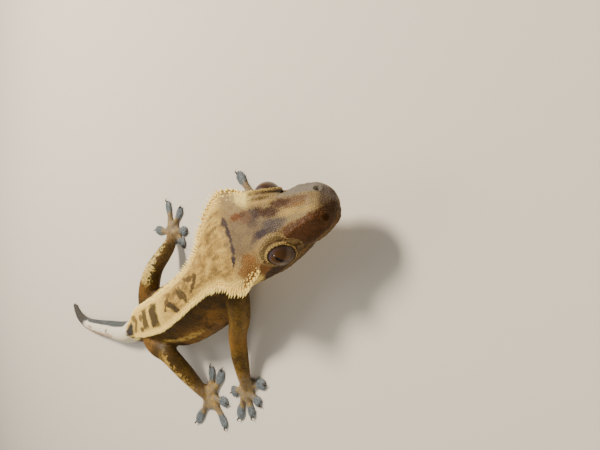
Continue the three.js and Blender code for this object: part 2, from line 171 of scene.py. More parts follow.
def unit(vector):
    vector = np.asarray(vector, float)
    return vector / np.maximum(np.linalg.norm(vector, axis=-1, keepdims=True), 1e-9)


def spotOf(part, side):  # where a part of the head is, from its values
    return place(part["at"], side * part["out"], part["height"])


def eyeCentre(side):
    return spotOf(eye, side)


# The way an eye looks, the way to its front corner and the way to its brow
def eyeFrame(side):
    axis = unit(eye["axis"][side])
    forward = unit(np.array([0, -1, 0]) + axis * axis[1])
    return axis, forward, np.cross(forward, axis) * side


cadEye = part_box("eye_right")
toFrame = np.array((cadEye[0] + cadEye[1]) / 2) - eyeCentre(-1) * mm

limbs = {
    "armRight": {
        "line": [(-5, 12, 12.8), (-9, 13.8, 11.4), (-13.4, 18.4, 8.9), (-17, 24.8, 6.3),
                 (-21.5, 28.8, 4.4), (-26.3, 31.4, 3), (-30.6, 34.4, 1.3)],
        "radius": [3, 3.2, 2.9, 2.6, 2.5, 2.1, 1.3], "palm": (-30.6, 35.2), "across": 6.6,
        "toes": [((-29.6, 31), (-31.1, 26.3)), ((-32.9, 33.2), (-36, 30.9)),
                 ((-34, 35.6), (-38.9, 36.2)), ((-33.4, 38.2), (-38.4, 42.9)),
                 ((-30.4, 38.8), (-30.7, 43.3))]},
    "armLeft": {
        "line": [(2, 13, 12.8), (6.3, 14.6, 11.3), (9.8, 17.4, 8.6), (12.4, 18.2, 5.8),
                 (13.4, 15.4, 4.3), (13.8, 12.6, 3.1), (14.3, 9.6, 1.3)],
        "radius": [3, 3.2, 2.8, 2.6, 2.4, 2.1, 1.3], "palm": (14.4, 9.6), "across": 6.6,
        "toes": [((11, 8.6), (7.2, 6.6)), ((12.4, 6.6), (10.2, 2.2)), ((14.4, 6.2), (14.4, 1.4)),
                 ((16, 7.6), (16.4, 4.8)), ((18.8, 11.4), (25.2, 14))]},
    "legRight": {
        "line": [(-2.5, 69.5, 7.2), (-6.6, 66.6, 8.4), (-10.8, 62.2, 9.4), (-14.6, 57.2, 9.4),
                 (-20.4, 56.4, 6.3), (-26.3, 55.6, 3.2), (-30.4, 55, 1.3)],
        "radius": [3.4, 3.7, 3.5, 2.9, 2.7, 2.1, 1.3], "palm": (-30.2, 54.8), "across": 8.6,
        "toes": [((-27, 51.4), (-21.4, 49.9)), ((-28.4, 49.2), (-23.6, 44.4)),
                 ((-31.6, 50.2), (-33.6, 45.9)), ((-34.6, 50.6), (-40.5, 50.6)),
                 ((-33, 58), (-36.9, 66.7))]},
    "legLeft": {
        "line": [(0.2, 67, 7.2), (4.6, 63.6, 8.4), (8.6, 59.2, 9), (11.8, 54.4, 8.9), (15.4, 52.6, 6),
                 (18.8, 51.6, 3.2), (23, 52.8, 1.3)],
        "radius": [3.4, 3.6, 3.4, 2.9, 2.7, 2.1, 1.3], "palm": (23, 53), "across": 8.6,
        "toes": [((19.8, 49.6), (15.8, 48.4)), ((22, 48.8), (19.8, 44.6)), ((25.6, 49), (28.5, 44.4)),
                 ((27.8, 52.4), (34.4, 52)), ((25, 57), (28.4, 64.4))]},
}
foot = {
    "sides": 16, "rings": 26, "palmHigh": 1.5, "palmLevel": 0.45, "palmShare": 0.92, "webShare": 0.58,
    "webThick": 0.95, "webGap": 125, "tipFrom": 0.92, "sole": 0.02,
    "width": knotCurve([(0, 1.6), (0.3, 1.25), (0.5, 1.05), (0.62, 1.4), (0.76, 1.95), (0.88, 1.8),
                        (0.95, 1.35), (1, 0.6)]),
    "height": knotCurve([(0, 2.3), (0.3, 2), (0.5, 1.5), (0.7, 1.25), (0.85, 1.1), (1, 0.8)]),
}


# Places along a limb, on a centripetal spline through its line, with the share of the line that each has
def limbLine(limb, count=49):
    points = np.array(limb["line"], float)
    padded = np.vstack([2 * points[0] - points[1], points, 2 * points[-1] - points[-2]])
    shares = np.linspace(0, 1, count)
    out = []
    for share in shares:
        span = share * (len(points) - 1)
        i = min(int(span), len(points) - 2)
        t = span - i
        p0, p1, p2, p3 = padded[i:i + 4]
        d0, d1, d2 = (np.linalg.norm(b - a) ** 0.5 for a, b in ((p0, p1), (p1, p2), (p2, p3)))
        m1 = ((p1 - p0) / d0 - (p2 - p0) / (d0 + d1) + (p2 - p1) / d1) * d1
        m2 = ((p2 - p1) / d1 - (p3 - p1) / (d1 + d2) + (p3 - p2) / d2) * d1
        out.append(curved(p1, p2, m1, m2, t))
    return shares, np.array(out)


def limbRadius(limb, shares):
    radius = limb["radius"]
    return knotCurve([(i / (len(radius) - 1), r) for i, r in enumerate(radius)])(shares)


# Places along a toe, from the palm past the knuckle to the tip
def toeLine(limb, toe, count):
    root, knuckle, tip = np.array(limb["palm"], float), np.array(toe[0], float), np.array(toe[1], float)
    t = np.linspace(0, 1, count)[:, None]
    return t[:, 0], (1 - t) ** 2 * root + 2 * t * (1 - t) * knuckle + t * t * tip


# A closed shell through rings of equal count, as corners and faces
def loft(rings):
    rings = np.asarray(rings, float)
    count, around = rings.shape[:2]
    grid = np.arange(count * around).reshape(count, around)
    nextOne = np.roll(grid, -1, 1)
    faces = np.stack([grid[:-1], nextOne[:-1], nextOne[1:], grid[1:]], -1).reshape(-1, 4).tolist()
    corners = rings.reshape(-1, 3)
    ends = np.stack([rings[0].mean(0), rings[-1].mean(0)])
    for hub, row, turn in ((len(corners), 0, True), (len(corners) + 1, count - 1, False)):
        for a, b in zip(grid[row].tolist(), nextOne[row].tolist()):
            faces.append((hub, b, a) if turn else (hub, a, b))
    corners = np.vstack([corners, ends])
    volume = sum(np.dot(corners[f[0]], np.cross(corners[f[1]], corners[f[2]])) for f in faces)
    return corners, [tuple(f) if volume > 0 else tuple(reversed(f)) for f in faces]


def joined(shells):
    corners, faces, start = [], [], 0
    for points, polygons in shells:
        corners.append(points)
        faces += [tuple(i + start for i in f) for f in polygons]
        start += len(points)
    return np.vstack(corners), faces


def linked(name, data):  # a new object in the scene
    made = bpy.data.objects.new(name, data)
    bpy.context.scene.collection.objects.link(made)
    return made


def meshObject(name, shell, material=None):
    corners, faces = shell
    mesh = bpy.data.meshes.new(name)
    mesh.from_pydata((corners * mm + toFrame).tolist(), [], faces)
    made = linked(name, mesh)
    if material:
        mesh.materials.append(material)
    mesh.polygons.foreach_set("use_smooth", [True] * len(mesh.polygons))
    return made


def cornersOf(mesh):
    flat = np.empty(len(mesh.vertices) * 3)
    mesh.vertices.foreach_get("co", flat)
    return (flat.reshape(-1, 3) - toFrame) / mm


def setCorners(mesh, corners):
    mesh.vertices.foreach_set("co", (corners * mm + toFrame).ravel())
    mesh.update()


def normalsOf(mesh):
    flat = np.empty(len(mesh.vertices) * 3)
    mesh.vertex_normals.foreach_get("vector", flat)
    return flat.reshape(-1, 3)


def setAttribute(mesh, name, values, kind="FLOAT"):
    field = {"FLOAT": "value", "FLOAT_VECTOR": "vector"}[kind]
    layer = mesh.attributes.new(name, kind, "POINT")
    layer.data.foreach_set(field, np.asarray(values, np.float32).ravel())


# The live result of an object's modifiers as its own plain mesh
def applied(made):
    graph = bpy.context.evaluated_depsgraph_get()
    mesh = bpy.data.meshes.new_from_object(made.evaluated_get(graph))
    old = made.data
    made.modifiers.clear()
    made.data = mesh
    bpy.data.meshes.remove(old)
    mesh.name = made.name
    return made


# Materials and Geometry Nodes trees are written with two small classes
class Flow:  # a socket whose arithmetic adds Math nodes
    def __init__(self, net, socket):
        self.net, self.socket = net, socket

    def __add__(self, other):
        return self.net.math("ADD", self, other)
    __radd__ = __add__

    def __mul__(self, other):
        return self.net.math("MULTIPLY", self, other)
    __rmul__ = __mul__

    def __sub__(self, other):
        return self.net.math("SUBTRACT", self, other)

    def __rsub__(self, other):
        return self.net.math("SUBTRACT", other, self)

    def __truediv__(self, other):
        return self.net.math("DIVIDE", self, other)

    def __pow__(self, other):
        return self.net.math("POWER", self, other)

    def __abs__(self):
        return self.net.math("ABSOLUTE", self)

    def __getitem__(self, name):  # another output of the same node
        return Flow(self.net, self.socket.node.outputs[name])


class Net:  # a node tree that is being built
    def __init__(self, tree):
        self.tree = tree
        tree.nodes.clear()

    def node(self, kind, settings=None, inputs=None, output=0):
        made = self.tree.nodes.new(kind)
        for name, value in (settings or {}).items():
            setattr(made, name, value)
        for name, value in (inputs or {}).items():
            if isinstance(value, Flow):
                self.tree.links.new(value.socket, made.inputs[name])
            else:
                made.inputs[name].default_value = value
        return Flow(self, made.outputs[output]) if made.outputs else None

    def math(self, operation, *values):
        return self.node("ShaderNodeMath", {"operation": operation}, dict(enumerate(values)))

    def most(self, a, b):
        return self.math("MAXIMUM", a, b)

    def step(self, value, low, high):  # 0 below low, 1 above high, smooth between
        return self.node("ShaderNodeMapRange", {"interpolation_type": "SMOOTHSTEP"},
                         {"Value": value, "From Min": low, "From Max": high})

    def fall(self, value, low, high):  # 1 below low, 0 above high
        return 1 - self.step(value, low, high)

    def band(self, value, low, high, soft):  # 1 between low and high
        return self.step(value, low - soft, low + soft) * self.fall(value, high - soft, high + soft)

    def mix(self, share, under, over, blend="MIX"):  # two colours, or names from the paint table
        under, over = (paint[tone] if isinstance(tone, str) else tone for tone in (under, over))
        return self.node("ShaderNodeMix", {"data_type": "RGBA", "blend_type": blend},
                         {0: share, 6: under, 7: over}, 2)

    def layers(self, under, *coats):  # colours laid on one after another, each over its share
        for share, tone in coats:
            under = self.mix(share, under, tone)
        return under

    def noise(self, where, scale, detail=3, rough=0.55, settings=None):
        inputs = {"Vector": where, "Scale": scale, "Detail": detail, "Roughness": rough}
        return self.node("ShaderNodeTexNoise", settings, inputs)

    def attributes(self, *names):  # values kept on the mesh, for a material
        return [self.node("ShaderNodeAttribute", {"attribute_name": name}, output="Fac") for name in names]

    def kept(self, name, kind="FLOAT"):  # a value kept on the mesh, for Geometry Nodes
        return self.node("GeometryNodeInputNamedAttribute", {"data_type": kind}, {"Name": name})

    def keep(self, geometry, name, value, domain="POINT"):
        return self.node("GeometryNodeStoreNamedAttribute", {"data_type": "FLOAT", "domain": domain},
                         {"Geometry": geometry, "Name": name, "Value": value})

    def random(self, low, high, seed):
        return self.node("FunctionNodeRandomValue", {"data_type": "FLOAT"}, {2: low, 3: high, 8: seed}, 1)


def colour(code):  # a web colour as Blender's linear one
    parts = [int(code[i:i + 2], 16) / 255 for i in (0, 2, 4)]
    return tuple(c / 12.92 if c < 0.04045 else ((c + 0.055) / 1.055) ** 2.4 for c in parts) + (1,)


def newMaterial(name):
    material = bpy.data.materials.new(name)
    material.use_nodes = True
    net = Net(material.node_tree)
    return material, net, net.node("ShaderNodeTexCoord", None, None, "Object")


def principled(net, inputs):
    shader = net.node("ShaderNodeBsdfPrincipled", None, inputs)
    net.node("ShaderNodeOutputMaterial", None, {"Surface": shader})


# Skin
skin = {
    "voxel": 0.5,        # of the first mesh, halved on the head and feet
    "sunk": 0.1,         # below the drawn surface, which the scales reach
    "fillet": 14,        # smoothing rounds where a limb grows from the trunk
    # The lids: their distance from the eye's centre at each angle from its axis, the angles and
    # distances over which they give way to the head, and the brow's ridge and furrow
    "lid": {"reach": knotCurve([(48, 2.45), (55, 2.6), (58, 3.05), (62, 3.36), (66, 3.44), (72, 3.4),
                                (77, 3.36), (83, 3.6), (90, 3.95), (96, 4.2)]),
            "inner": 57, "angles": (84, 101), "distances": (4.4, 5.4), "ridge": 0.24, "furrow": 0.16},
    "mouthEnd": -3.4, "mouthDeep": 0.42, "lipHigh": 0.14, "lipScale": 1.25,
    "nostril": {"at": -22.9, "out": 3, "height": 14.8, "deep": 0.75, "radius": 0.5},
    "ear": {"at": 3, "out": 9.3, "height": 12.6, "deep": 1.1, "wide": 0.75, "tall": 1.6},
    "whorl": 2.3,        # length of one ring of the tail
}
halfTurn = np.unique(np.concatenate([np.linspace(0, 5, 81), np.linspace(2.8, 3.2, 17)]))


def trunkGrid():
    closing = np.array([0.03, 0.12, 0.3, 0.55, 0.85, 1.2, 1.6, 2.1, 2.6])
    alongs = np.concatenate([
        trunk["snoutEnd"] + closing, np.arange(trunk["snoutEnd"] + 3.1, 6, 0.5), np.arange(6, 151.6, 0.9),
        trunk["tailEnd"] - closing[::-1]])
    turns = np.concatenate([halfTurn, -halfTurn[-2:0:-1]])
    return np.meshgrid(alongs, turns, indexing="ij")


def limbShell(limb):
    shares, line = limbLine(limb)
    radius = limbRadius(limb, shares)[:, None]
    way = unit(np.gradient(line, axis=0))
    across = unit(np.cross(way, (0, 0, 1)))
    up = np.cross(across, way)
    spin = np.linspace(0, 2 * np.pi, 20, endpoint=False)
    return loft([line[i] + radius[i] * (across[i] * np.cos(t) + 0.92 * up[i] * np.sin(t))
                 for i in range(len(line)) for t in [spin[:, None]]])


def toeShell(limb, toe):
    shares, line = toeLine(limb, toe, foot["rings"])
    way = unit(np.gradient(line, axis=0))
    spin = np.linspace(0, np.pi, foot["sides"])
    rings = []
    for share, spot, direction in zip(shares, line, way):
        wide, high = foot["width"](share), foot["height"](share)
        if share > foot["tipFrom"]:  # the tip closes
            close = math.sqrt(max(0.05, 1 - ((share - foot["tipFrom"]) / (1 - foot["tipFrom"])) ** 2))
            wide, high = wide * close, high * close
        across = wide * np.cos(spin) * (1 - 0.1 * np.sin(spin))
        rings.append(np.stack([spot[0] + direction[1] * across, spot[1] - direction[0] * across,
                               foot["sole"] + high * np.sin(spin) ** 0.8], -1))
    return loft(rings)


def palmShell(limb):
    half = limb["across"] / 2 * foot["palmShare"]
    rings = []
    for tilt in np.linspace(0.02, np.pi - 0.02, 16):
        spin = np.linspace(0, 2 * np.pi, 32, endpoint=False)
        wide = half * math.sin(tilt)
        x, y = limb["palm"][0] + wide * np.cos(spin), limb["palm"][1] + wide * np.sin(spin)
        z = foot["palmLevel"] + foot["palmHigh"] * math.cos(tilt) * np.ones_like(spin)
        rings.append(np.stack([x, y, np.maximum(0, z)], -1))
    return loft(rings)


# Webs between neighbouring toes, as thin plates whose free edge curves inwards
def webShells(limb):
    palm = np.array(limb["palm"], float)

    def angle(toe):
        return math.atan2(toe[0][1] - palm[1], toe[0][0] - palm[0])
    toes = sorted(limb["toes"], key=angle)
    shells = []
    for toe, other in zip(toes, toes[1:] + toes[:1]):
        gap = (angle(other) - angle(toe)) % (2 * math.pi)
        if gap > math.radians(foot["webGap"]):
            continue
        a, b = (toeLine(limb, each, 21)[1][int(20 * foot["webShare"])] for each in (toe, other))
        t = np.linspace(0, 1, 9)[:, None]
        edge = a * (1 - t) + b * t + (palm - (a + b) / 2) * 0.55 * t * (1 - t) * 4 * 0.6
        outline = np.vstack([palm[None], edge])
        shells.append(loft([np.column_stack([outline, np.full(len(outline), level)])
                            for level in (foot["sole"], foot["webThick"])]))
    return shells


def neighbourMean(corners, edges, weight, rounds):
    count = np.bincount(edges.ravel(), minlength=len(corners)).astype(float)
    for _ in range(rounds):
        total = np.zeros_like(corners)
        for axis in range(3):
            total[:, axis] = (np.bincount(edges[:, 0], corners[edges[:, 1], axis], len(corners))
                              + np.bincount(edges[:, 1], corners[edges[:, 0], axis], len(corners)))
        mean = total / np.maximum(count, 1)[:, None]
        corners = corners + (mean - corners) * weight[:, None]
    return corners


def edgesOf(mesh):
    edges = np.empty(len(mesh.edges) * 2, np.int64)
    mesh.edges.foreach_get("vertices", edges)
    return edges.reshape(-1, 2)


trunkAlong, trunkAround = trunkGrid()
trunkShell = loft(trunkSurface(trunkAlong, trunkAround))
trunkTree = BVHTree.FromPolygons(trunkShell[0].tolist(), trunkShell[1])


# Where each corner is on the body: its length along it and place around it, the nearest place on the
# trunk and how far it stands off it, its share of the nearest limb's length, which runs on to 2 along a
# toe, which limb that is, and how far it is from the limb's surface
def bodyPlaces(corners):
    rows, columns = trunkAlong.shape
    grid = trunkShell[0][:-2].reshape(rows, columns, 3)
    found = [trunkTree.find_nearest(corner) for corner in corners.tolist()]
    spot = np.array([f[0] for f in found])
    normal = np.array([f[1] for f in found])
    face = np.array([f[2] for f in found])
    onGrid = face < (rows - 1) * columns
    row = np.where(onGrid, face // columns, np.where(face < (rows - 1) * columns + columns, 0, rows - 2))
    column = np.where(onGrid, face % columns, 0)
    after = (column + 1) % columns
    a, b, c, d = grid[row, column], grid[row, after], grid[row + 1, after], grid[row + 1, column]
    lengthwise, across = (d - a + c - b) / 2, (b - a + c - d) / 2
    offset = spot - (a + b + c + d) / 4
    ll, lx, xx = (lengthwise ** 2).sum(1), (lengthwise * across).sum(1), (across ** 2).sum(1)
    ol, ox = (offset * lengthwise).sum(1), (offset * across).sum(1)
    det = np.maximum(ll * xx - lx * lx, 1e-9)
    u = np.clip((ol * xx - ox * lx) / det, -0.5, 0.5) + 0.5
    v = np.clip((ox * ll - ol * lx) / det, -0.5, 0.5) + 0.5
    along = trunkAlong[row, 0] * (1 - u) + trunkAlong[row + 1, 0] * u
    first, second = trunkAround[0, column], trunkAround[0, after]
    second = np.where(np.abs(second - first) > 5, -second, second)
    around = first * (1 - v) + second * v
    outside = ((corners - spot) * normal).sum(1)
    tree, labels = limbSamples()
    nearest = [tree.find(corner) for corner in corners.tolist()]
    picked = np.array([n[1] for n in nearest])
    reach, radius, hind, ids = labels[picked].T
    limbGap = np.array([n[2] for n in nearest]) - radius
    return {"along": along, "around": around, "spot": spot, "normal": normal, "outside": outside,
            "reach": reach, "hind": hind, "limb": ids, "limbGap": limbGap}


def limbSamples():
    points, labels = [], []
    for index, (name, limb) in enumerate(limbs.items()):
        hind = 1.0 if name.startswith("leg") else 0.0
        shares, line = limbLine(limb, 161)
        for share, spot, radius in zip(shares, line, limbRadius(limb, shares)):
            points.append(spot)
            labels.append((share, radius, hind, index))
        for toe in limb["toes"]:
            for share, spot in zip(*toeLine(limb, toe, 41)):
                points.append((*spot, 0.6))
                labels.append((1 + share, foot["width"](share), hind, index))
    tree = KDTree(len(points))
    for i, point in enumerate(points):
        tree.insert(point, i)
    tree.balance()
    return tree, np.array(labels, float)


# Where corners are from the nearer eye's centre, their distance from it, their angle in degrees from
# the way it looks, and how far they are from its axis and above it
def eyePlaces(corners):
    onLeft = corners[:, 0] > place(eye["at"], 0, 0)[0]
    found = []
    for side in (-1, 1):
        axis, _, up = eyeFrame(side)
        offset = corners - eyeCentre(side)
        distance = np.linalg.norm(offset, axis=1)
        angle = np.degrees(np.arccos(np.clip(offset @ axis / distance, -1, 1)))
        fromAxis = distance * np.sin(np.radians(angle))
        found.append(np.column_stack([offset, distance, angle, fromAxis, offset @ up]))
    nearer = np.where(onLeft[:, None], found[1], found[0])
    return nearer[:, :3], *nearer[:, 3:].T


# The lids, as the head's own surface moved towards or away from the eye's centre
def lidded(corners, onTrunk):
    lid = skin["lid"]
    offset, distance, angle, _, _ = eyePlaces(corners)
    wanted = lid["reach"](angle)
    wanted = np.where(angle < lid["inner"], np.minimum(distance, wanted), wanted)
    share = smoothFall(angle, *lid["angles"]) * smoothFall(distance, *lid["distances"]) * onTrunk
    return corners + offset * (share * (wanted / distance - 1))[:, None]


# Splits the faces whose corners are all chosen into four
def divide(made, chosen):
    bm = bmesh.new()
    bm.from_mesh(made.data)
    bm.verts.ensure_lookup_table()
    edges = [e for e in bm.edges if chosen[e.verts[0].index] and chosen[e.verts[1].index]]
    bmesh.ops.subdivide_edges(bm, edges=edges, cuts=1, use_grid_fill=True)
    bm.to_mesh(made.data)
    bm.free()


def fineSpots(corners, at):  # corners near the mouth, nostrils, ears and lids
    head = (at["along"] < 6) & (at["outside"] < 1.2)
    mouth = (np.abs(np.abs(at["around"]) - 3) < 0.17) & (at["along"] < skin["mouthEnd"] + 1)
    near = np.zeros(len(corners), bool)
    for part, reach in (("nostril", 1.5), ("ear", 2.3)):
        for side in (-1, 1):
            near |= np.linalg.norm(corners - spotOf(skin[part], side), axis=1) < reach
    _, distance, angle, fromAxis, _ = eyePlaces(corners)
    lids = (fromAxis > 1.6) & (distance < 5.4) & (angle < 112)
    return head & (mouth | near | lids)


# Ridges and folds, by how high or deep they are
folds = {
    "lipScales": 0.09, "canthus": 0.28, "cheekHollow": 0.34, "snoutHollow": 0.22, "crownRidge": 0.12,
    "crownHollow": 0.25, "temple": 0.4, "throat": 0.07, "neck": 0.13, "flank": 0.09, "flankCreases": 0.05,
    "whorl": 0.1, "lumps": 0.035, "smallLumps": 0.03, "nostrilRim": 0.16, "earRim": 0.18,
}


# How far the finished skin stands proud of the drawn surface, or below it
def relief(corners, at):
    along, around = at["along"], np.abs(at["around"])
    lid, nostril, ear = skin["lid"], skin["nostril"], skin["ear"]

    def hump(value, centre, width):
        return np.exp(-((value - centre) / width) ** 2)

    def wave(phase, length):
        return np.sin(2 * np.pi * phase / length)
    mouthFade = np.clip((skin["mouthEnd"] - along) / 2, 0, 1)
    off = around - 3
    out = mouthFade * (skin["lipHigh"] * hump(np.abs(off), 0.14, 0.08)
                       - skin["mouthDeep"] * hump(off, 0, 0.045))
    division = np.abs((along / skin["lipScale"]) % 1 - 0.5)
    out -= mouthFade * folds["lipScales"] * hump(division, 0, 0.11) * hump(np.abs(off), 0.2, 0.13)
    canthus = smoothStep(along, -22.5, -20) * smoothFall(along, -15.5, -13.5)
    out += canthus * (folds["canthus"] * hump(around, 1, 0.22)
                      - folds["cheekHollow"] * hump(around, 1.75, 0.38)
                      - folds["snoutHollow"] * hump(around, 0.1, 0.4))
    crown = smoothStep(along, -11, -6) * smoothFall(along, 2, 6)
    out += crown * (folds["crownRidge"] * hump(around, 0.72, 0.18)
                    - folds["crownHollow"] * hump(around, 0, 0.35))
    _, _, angle, fromEye, rise = eyePlaces(corners)
    brow = smoothStep(rise, -1, 1.5) * smoothFall(angle, 105, 125)
    out += brow * (lid["ridge"] * hump(fromEye, 4.1, 0.4) - lid["furrow"] * hump(fromEye, 3.4, 0.16))
    out += smoothFall(along, 3, 8) * folds["temple"] * hump(along, -1, 3) * hump(around, 2.35, 0.5)
    throat = smoothStep(around, 3.6, 4.2) * smoothStep(along, -18, -8) * smoothFall(along, 12, 18)
    out += throat * folds["throat"] * wave(along + 0.5 * np.sin(2 * around), 1.7)
    neck = smoothStep(along, 4, 7) * smoothFall(along, 13, 17) * smoothStep(around, 1.2, 1.8)
    out += neck * folds["neck"] * wave(along + 0.9 * np.sin(1.4 * around), 2.2)
    flank = smoothStep(along, 20, 28) * smoothFall(along, 56, 66) * hump(around, 2.4, 0.9)
    out += flank * (folds["flank"] * wave(along + 1.5 * around, 4.6)
                    + folds["flankCreases"] * np.sin(17 * around + 0.2 * along))
    whorl = np.abs((along / skin["whorl"]) % 1 - 0.5)
    out -= smoothStep(along, 86, 94) * folds["whorl"] * hump(whorl, 0, 0.13)
    x, y, z = corners.T
    out += (folds["lumps"] * np.sin(1.9 * x + 1.3 * y) * np.sin(2.3 * z + 0.9 * y + 1)
            + folds["smallLumps"] * np.sin(3.7 * y - 2.9 * x + z))
    out *= at["onTrunk"]
    for side in (-1, 1):
        distance = np.linalg.norm(corners - surfaceSpot(side, nostril), axis=1)
        out += folds["nostrilRim"] * hump(distance, 0.85, 0.3)
        out -= nostril["deep"] * hump(distance, 0, nostril["radius"])
        offset = (corners - surfaceSpot(side, ear)) / (10 / 3, ear["wide"], ear["tall"])
        distance = np.linalg.norm(offset, axis=1)
        out += folds["earRim"] * hump(distance, 1.35, 0.35) - ear["deep"] * hump(distance, 0, 0.8)
    return out


def surfaceSpot(side, part):
    return np.array(trunkTree.find_nearest(spotOf(part, side).tolist())[0])


def makeSkin(material):
    shells = [trunkShell]
    for limb in limbs.values():
        shells += [limbShell(limb), palmShell(limb)] + [toeShell(limb, toe) for toe in limb["toes"]]
        shells += webShells(limb)
    made = meshObject("skin", joined(shells), material)
    remesh = made.modifiers.new("remesh", "REMESH")
    remesh.mode, remesh.voxel_size, remesh.use_smooth_shade = "VOXEL", skin["voxel"] * mm, True
    applied(made)
    corners = cornersOf(made.data)
    at = bodyPlaces(corners)
    onFoot = (at["reach"] > 0.88) & (at["outside"] > 1)
    divide(made, ((at["along"] < 7) & (at["outside"] < 1.5)) | onFoot)
    corners = cornersOf(made.data)
    divide(made, fineSpots(corners, bodyPlaces(corners)))
    print("skin remeshed:", len(made.data.polygons), "faces")

    corners, edges = cornersOf(made.data), edgesOf(made.data)
    at = bodyPlaces(corners)
    fillet = (smoothFall(np.abs(at["outside"]), 0.8, 2) * smoothFall(np.abs(at["limbGap"]), 0.8, 2)
              * (at["reach"] < 0.9))
    offTrunk = smoothStep(at["outside"], 0.5, 1.2)
    corners = neighbourMean(corners, edges, 0.5 * fillet, skin["fillet"])
    corners = neighbourMean(corners, edges, 0.45 * np.maximum(offTrunk, 0.3), 3)

    at = bodyPlaces(corners)
    at["onTrunk"] = smoothFall(at["outside"], 0.35, 0.9) * (1 - fillet)
    corners = corners + (at["spot"] - corners) * at["onTrunk"][:, None]
    corners = lidded(corners, at["onTrunk"])
    _, distance, angle, _, _ = eyePlaces(corners)
    setCorners(made.data, corners)
    corners = corners + normalsOf(made.data) * (relief(corners, at) - skin["sunk"])[:, None]
    flat = (corners[:, 2] < 0.25) & ((at["reach"] > 0.9) & (at["outside"] > 0.8) | (at["along"] > 95))
    corners[:, 2] = np.where(flat, 0, np.maximum(corners[:, 2], 0))
    setCorners(made.data, corners)

    mesh, normal = made.data, normalsOf(made.data)
    onLimb = smoothStep(at["outside"], 0.2, 1.6) * (at["limbGap"] < 3)
    region = np.where(onLimb > 0.5, 3, np.where(at["along"] < 6, 0, np.where(at["along"] < 88, 1, 2)))
    cover = np.ones(len(corners))
    cover[(corners[:, 2] < 0.3) & (normal[:, 2] < -0.5)] = 0
    mouth = (np.abs(np.abs(at["around"]) - 3) < 0.05) & (at["along"] < skin["mouthEnd"])
    cover[mouth & (onLimb < 0.5)] = 0
    eyeAngle = np.where(onLimb < 0.5, angle + 90 * smoothStep(distance, 4.5, 5.2), 180)
    cover[eyeAngle < 61] = 0
    for side in (-1, 1):
        for part, radius in (("nostril", 0.6), ("ear", 0.8)):
            cover[np.linalg.norm(corners - surfaceSpot(side, skin[part]), axis=1) < radius] = 0
    for name, values in (("along", at["along"]), ("around", at["around"]), ("reach", at["reach"]),
                         ("onLimb", onLimb), ("hind", at["hind"]), ("up", normal[:, 2]),
                         ("part", region), ("cover", cover), ("eyeAngle", eyeAngle), ("limb", at["limb"])):
        setAttribute(mesh, name, values)
    mesh.polygons.foreach_set("use_smooth", [True] * len(mesh.polygons))
    return made


# Geometry Nodes
def newTree(name, inputs):
    tree = bpy.data.node_groups.new(name, "GeometryNodeTree")
    tree.interface.new_socket("Geometry", in_out="INPUT", socket_type="NodeSocketGeometry")
    for label, kind in inputs.items():
        tree.interface.new_socket(label, in_out="INPUT", socket_type="NodeSocket" + kind)
    tree.interface.new_socket("Geometry", in_out="OUTPUT", socket_type="NodeSocketGeometry")
    net = Net(tree)
    return tree, net, net.node("NodeGroupInput")


def grown(made, tree, values):  # the object's own mesh becomes what the tree makes of it
    modifier = made.modifiers.new(tree.name, "NODES")
    modifier.node_group = tree
    for item in tree.interface.items_tree:
        if item.in_out == "INPUT" and item.name in values:
            modifier[item.identifier] = values[item.name]
    return applied(made)


def onPoints(net, given, points, instance, rotation, scale):
    placed = net.node("GeometryNodeInstanceOnPoints", None,
                      {"Points": points, "Instance": instance, "Rotation": rotation, "Scale": scale})
    marked = net.keep(placed, "grain", net.random(0.0, 1.0, 5), "INSTANCE")
    real = net.node("GeometryNodeRealizeInstances", None, {"Geometry": marked})
    smooth = net.node("GeometryNodeSetShadeSmooth", None, {"Geometry": real})
    done = net.node("GeometryNodeSetMaterial", None, {"Geometry": smooth, "Material": given["Finish"]})
    net.node("NodeGroupOutput", None, {"Geometry": done})


def heightIn(net):
    return net.node("ShaderNodeSeparateXYZ", None, {"Vector": net.node("GeometryNodeInputPosition")}, "Z")


def tipMarked(net, cone):  # keeps how near the tip each corner is
    return net.keep(cone, "tip", heightIn(net))


def scaleTree():
    tree, net, given = newTree("scales", {
        "Part": "Float", "Spacing": "Float", "Density": "Float", "Size": "Float", "Height": "Float",
        "Seed": "Int", "Finish": "Material"})
    chosen = net.node("FunctionNodeCompare", {"data_type": "FLOAT", "operation": "LESS_THAN"},
                      {0: abs(net.kept("part") - given["Part"]), 1: 0.5})
    points = net.node("GeometryNodeDistributePointsOnFaces", {"distribute_method": "POISSON"},
                      {"Mesh": given["Geometry"], "Selection": chosen, "Distance Min": given["Spacing"],
                       "Density Max": given["Density"], "Density Factor": net.kept("cover"),
                       "Seed": given["Seed"]})
    cone = net.node("GeometryNodeMeshCone", {"fill_type": "NGON"},
                    {"Vertices": 6, "Radius Top": 0.0, "Radius Bottom": 1.0, "Depth": 1.0})
    sunk = net.node("GeometryNodeTransform", None,
                    {"Geometry": tipMarked(net, cone), "Translation": (0, 0, -0.25)})
    vary = net.random(0.82, 1.12, 3)
    wide = given["Size"] * vary
    high = given["Height"] * vary * 1.33  # so that what stands above the root is the height
    scale = net.node("ShaderNodeCombineXYZ", None, {"X": wide, "Y": wide, "Z": high})
    onPoints(net, given, points, sunk, points["Rotation"], scale)
    return tree


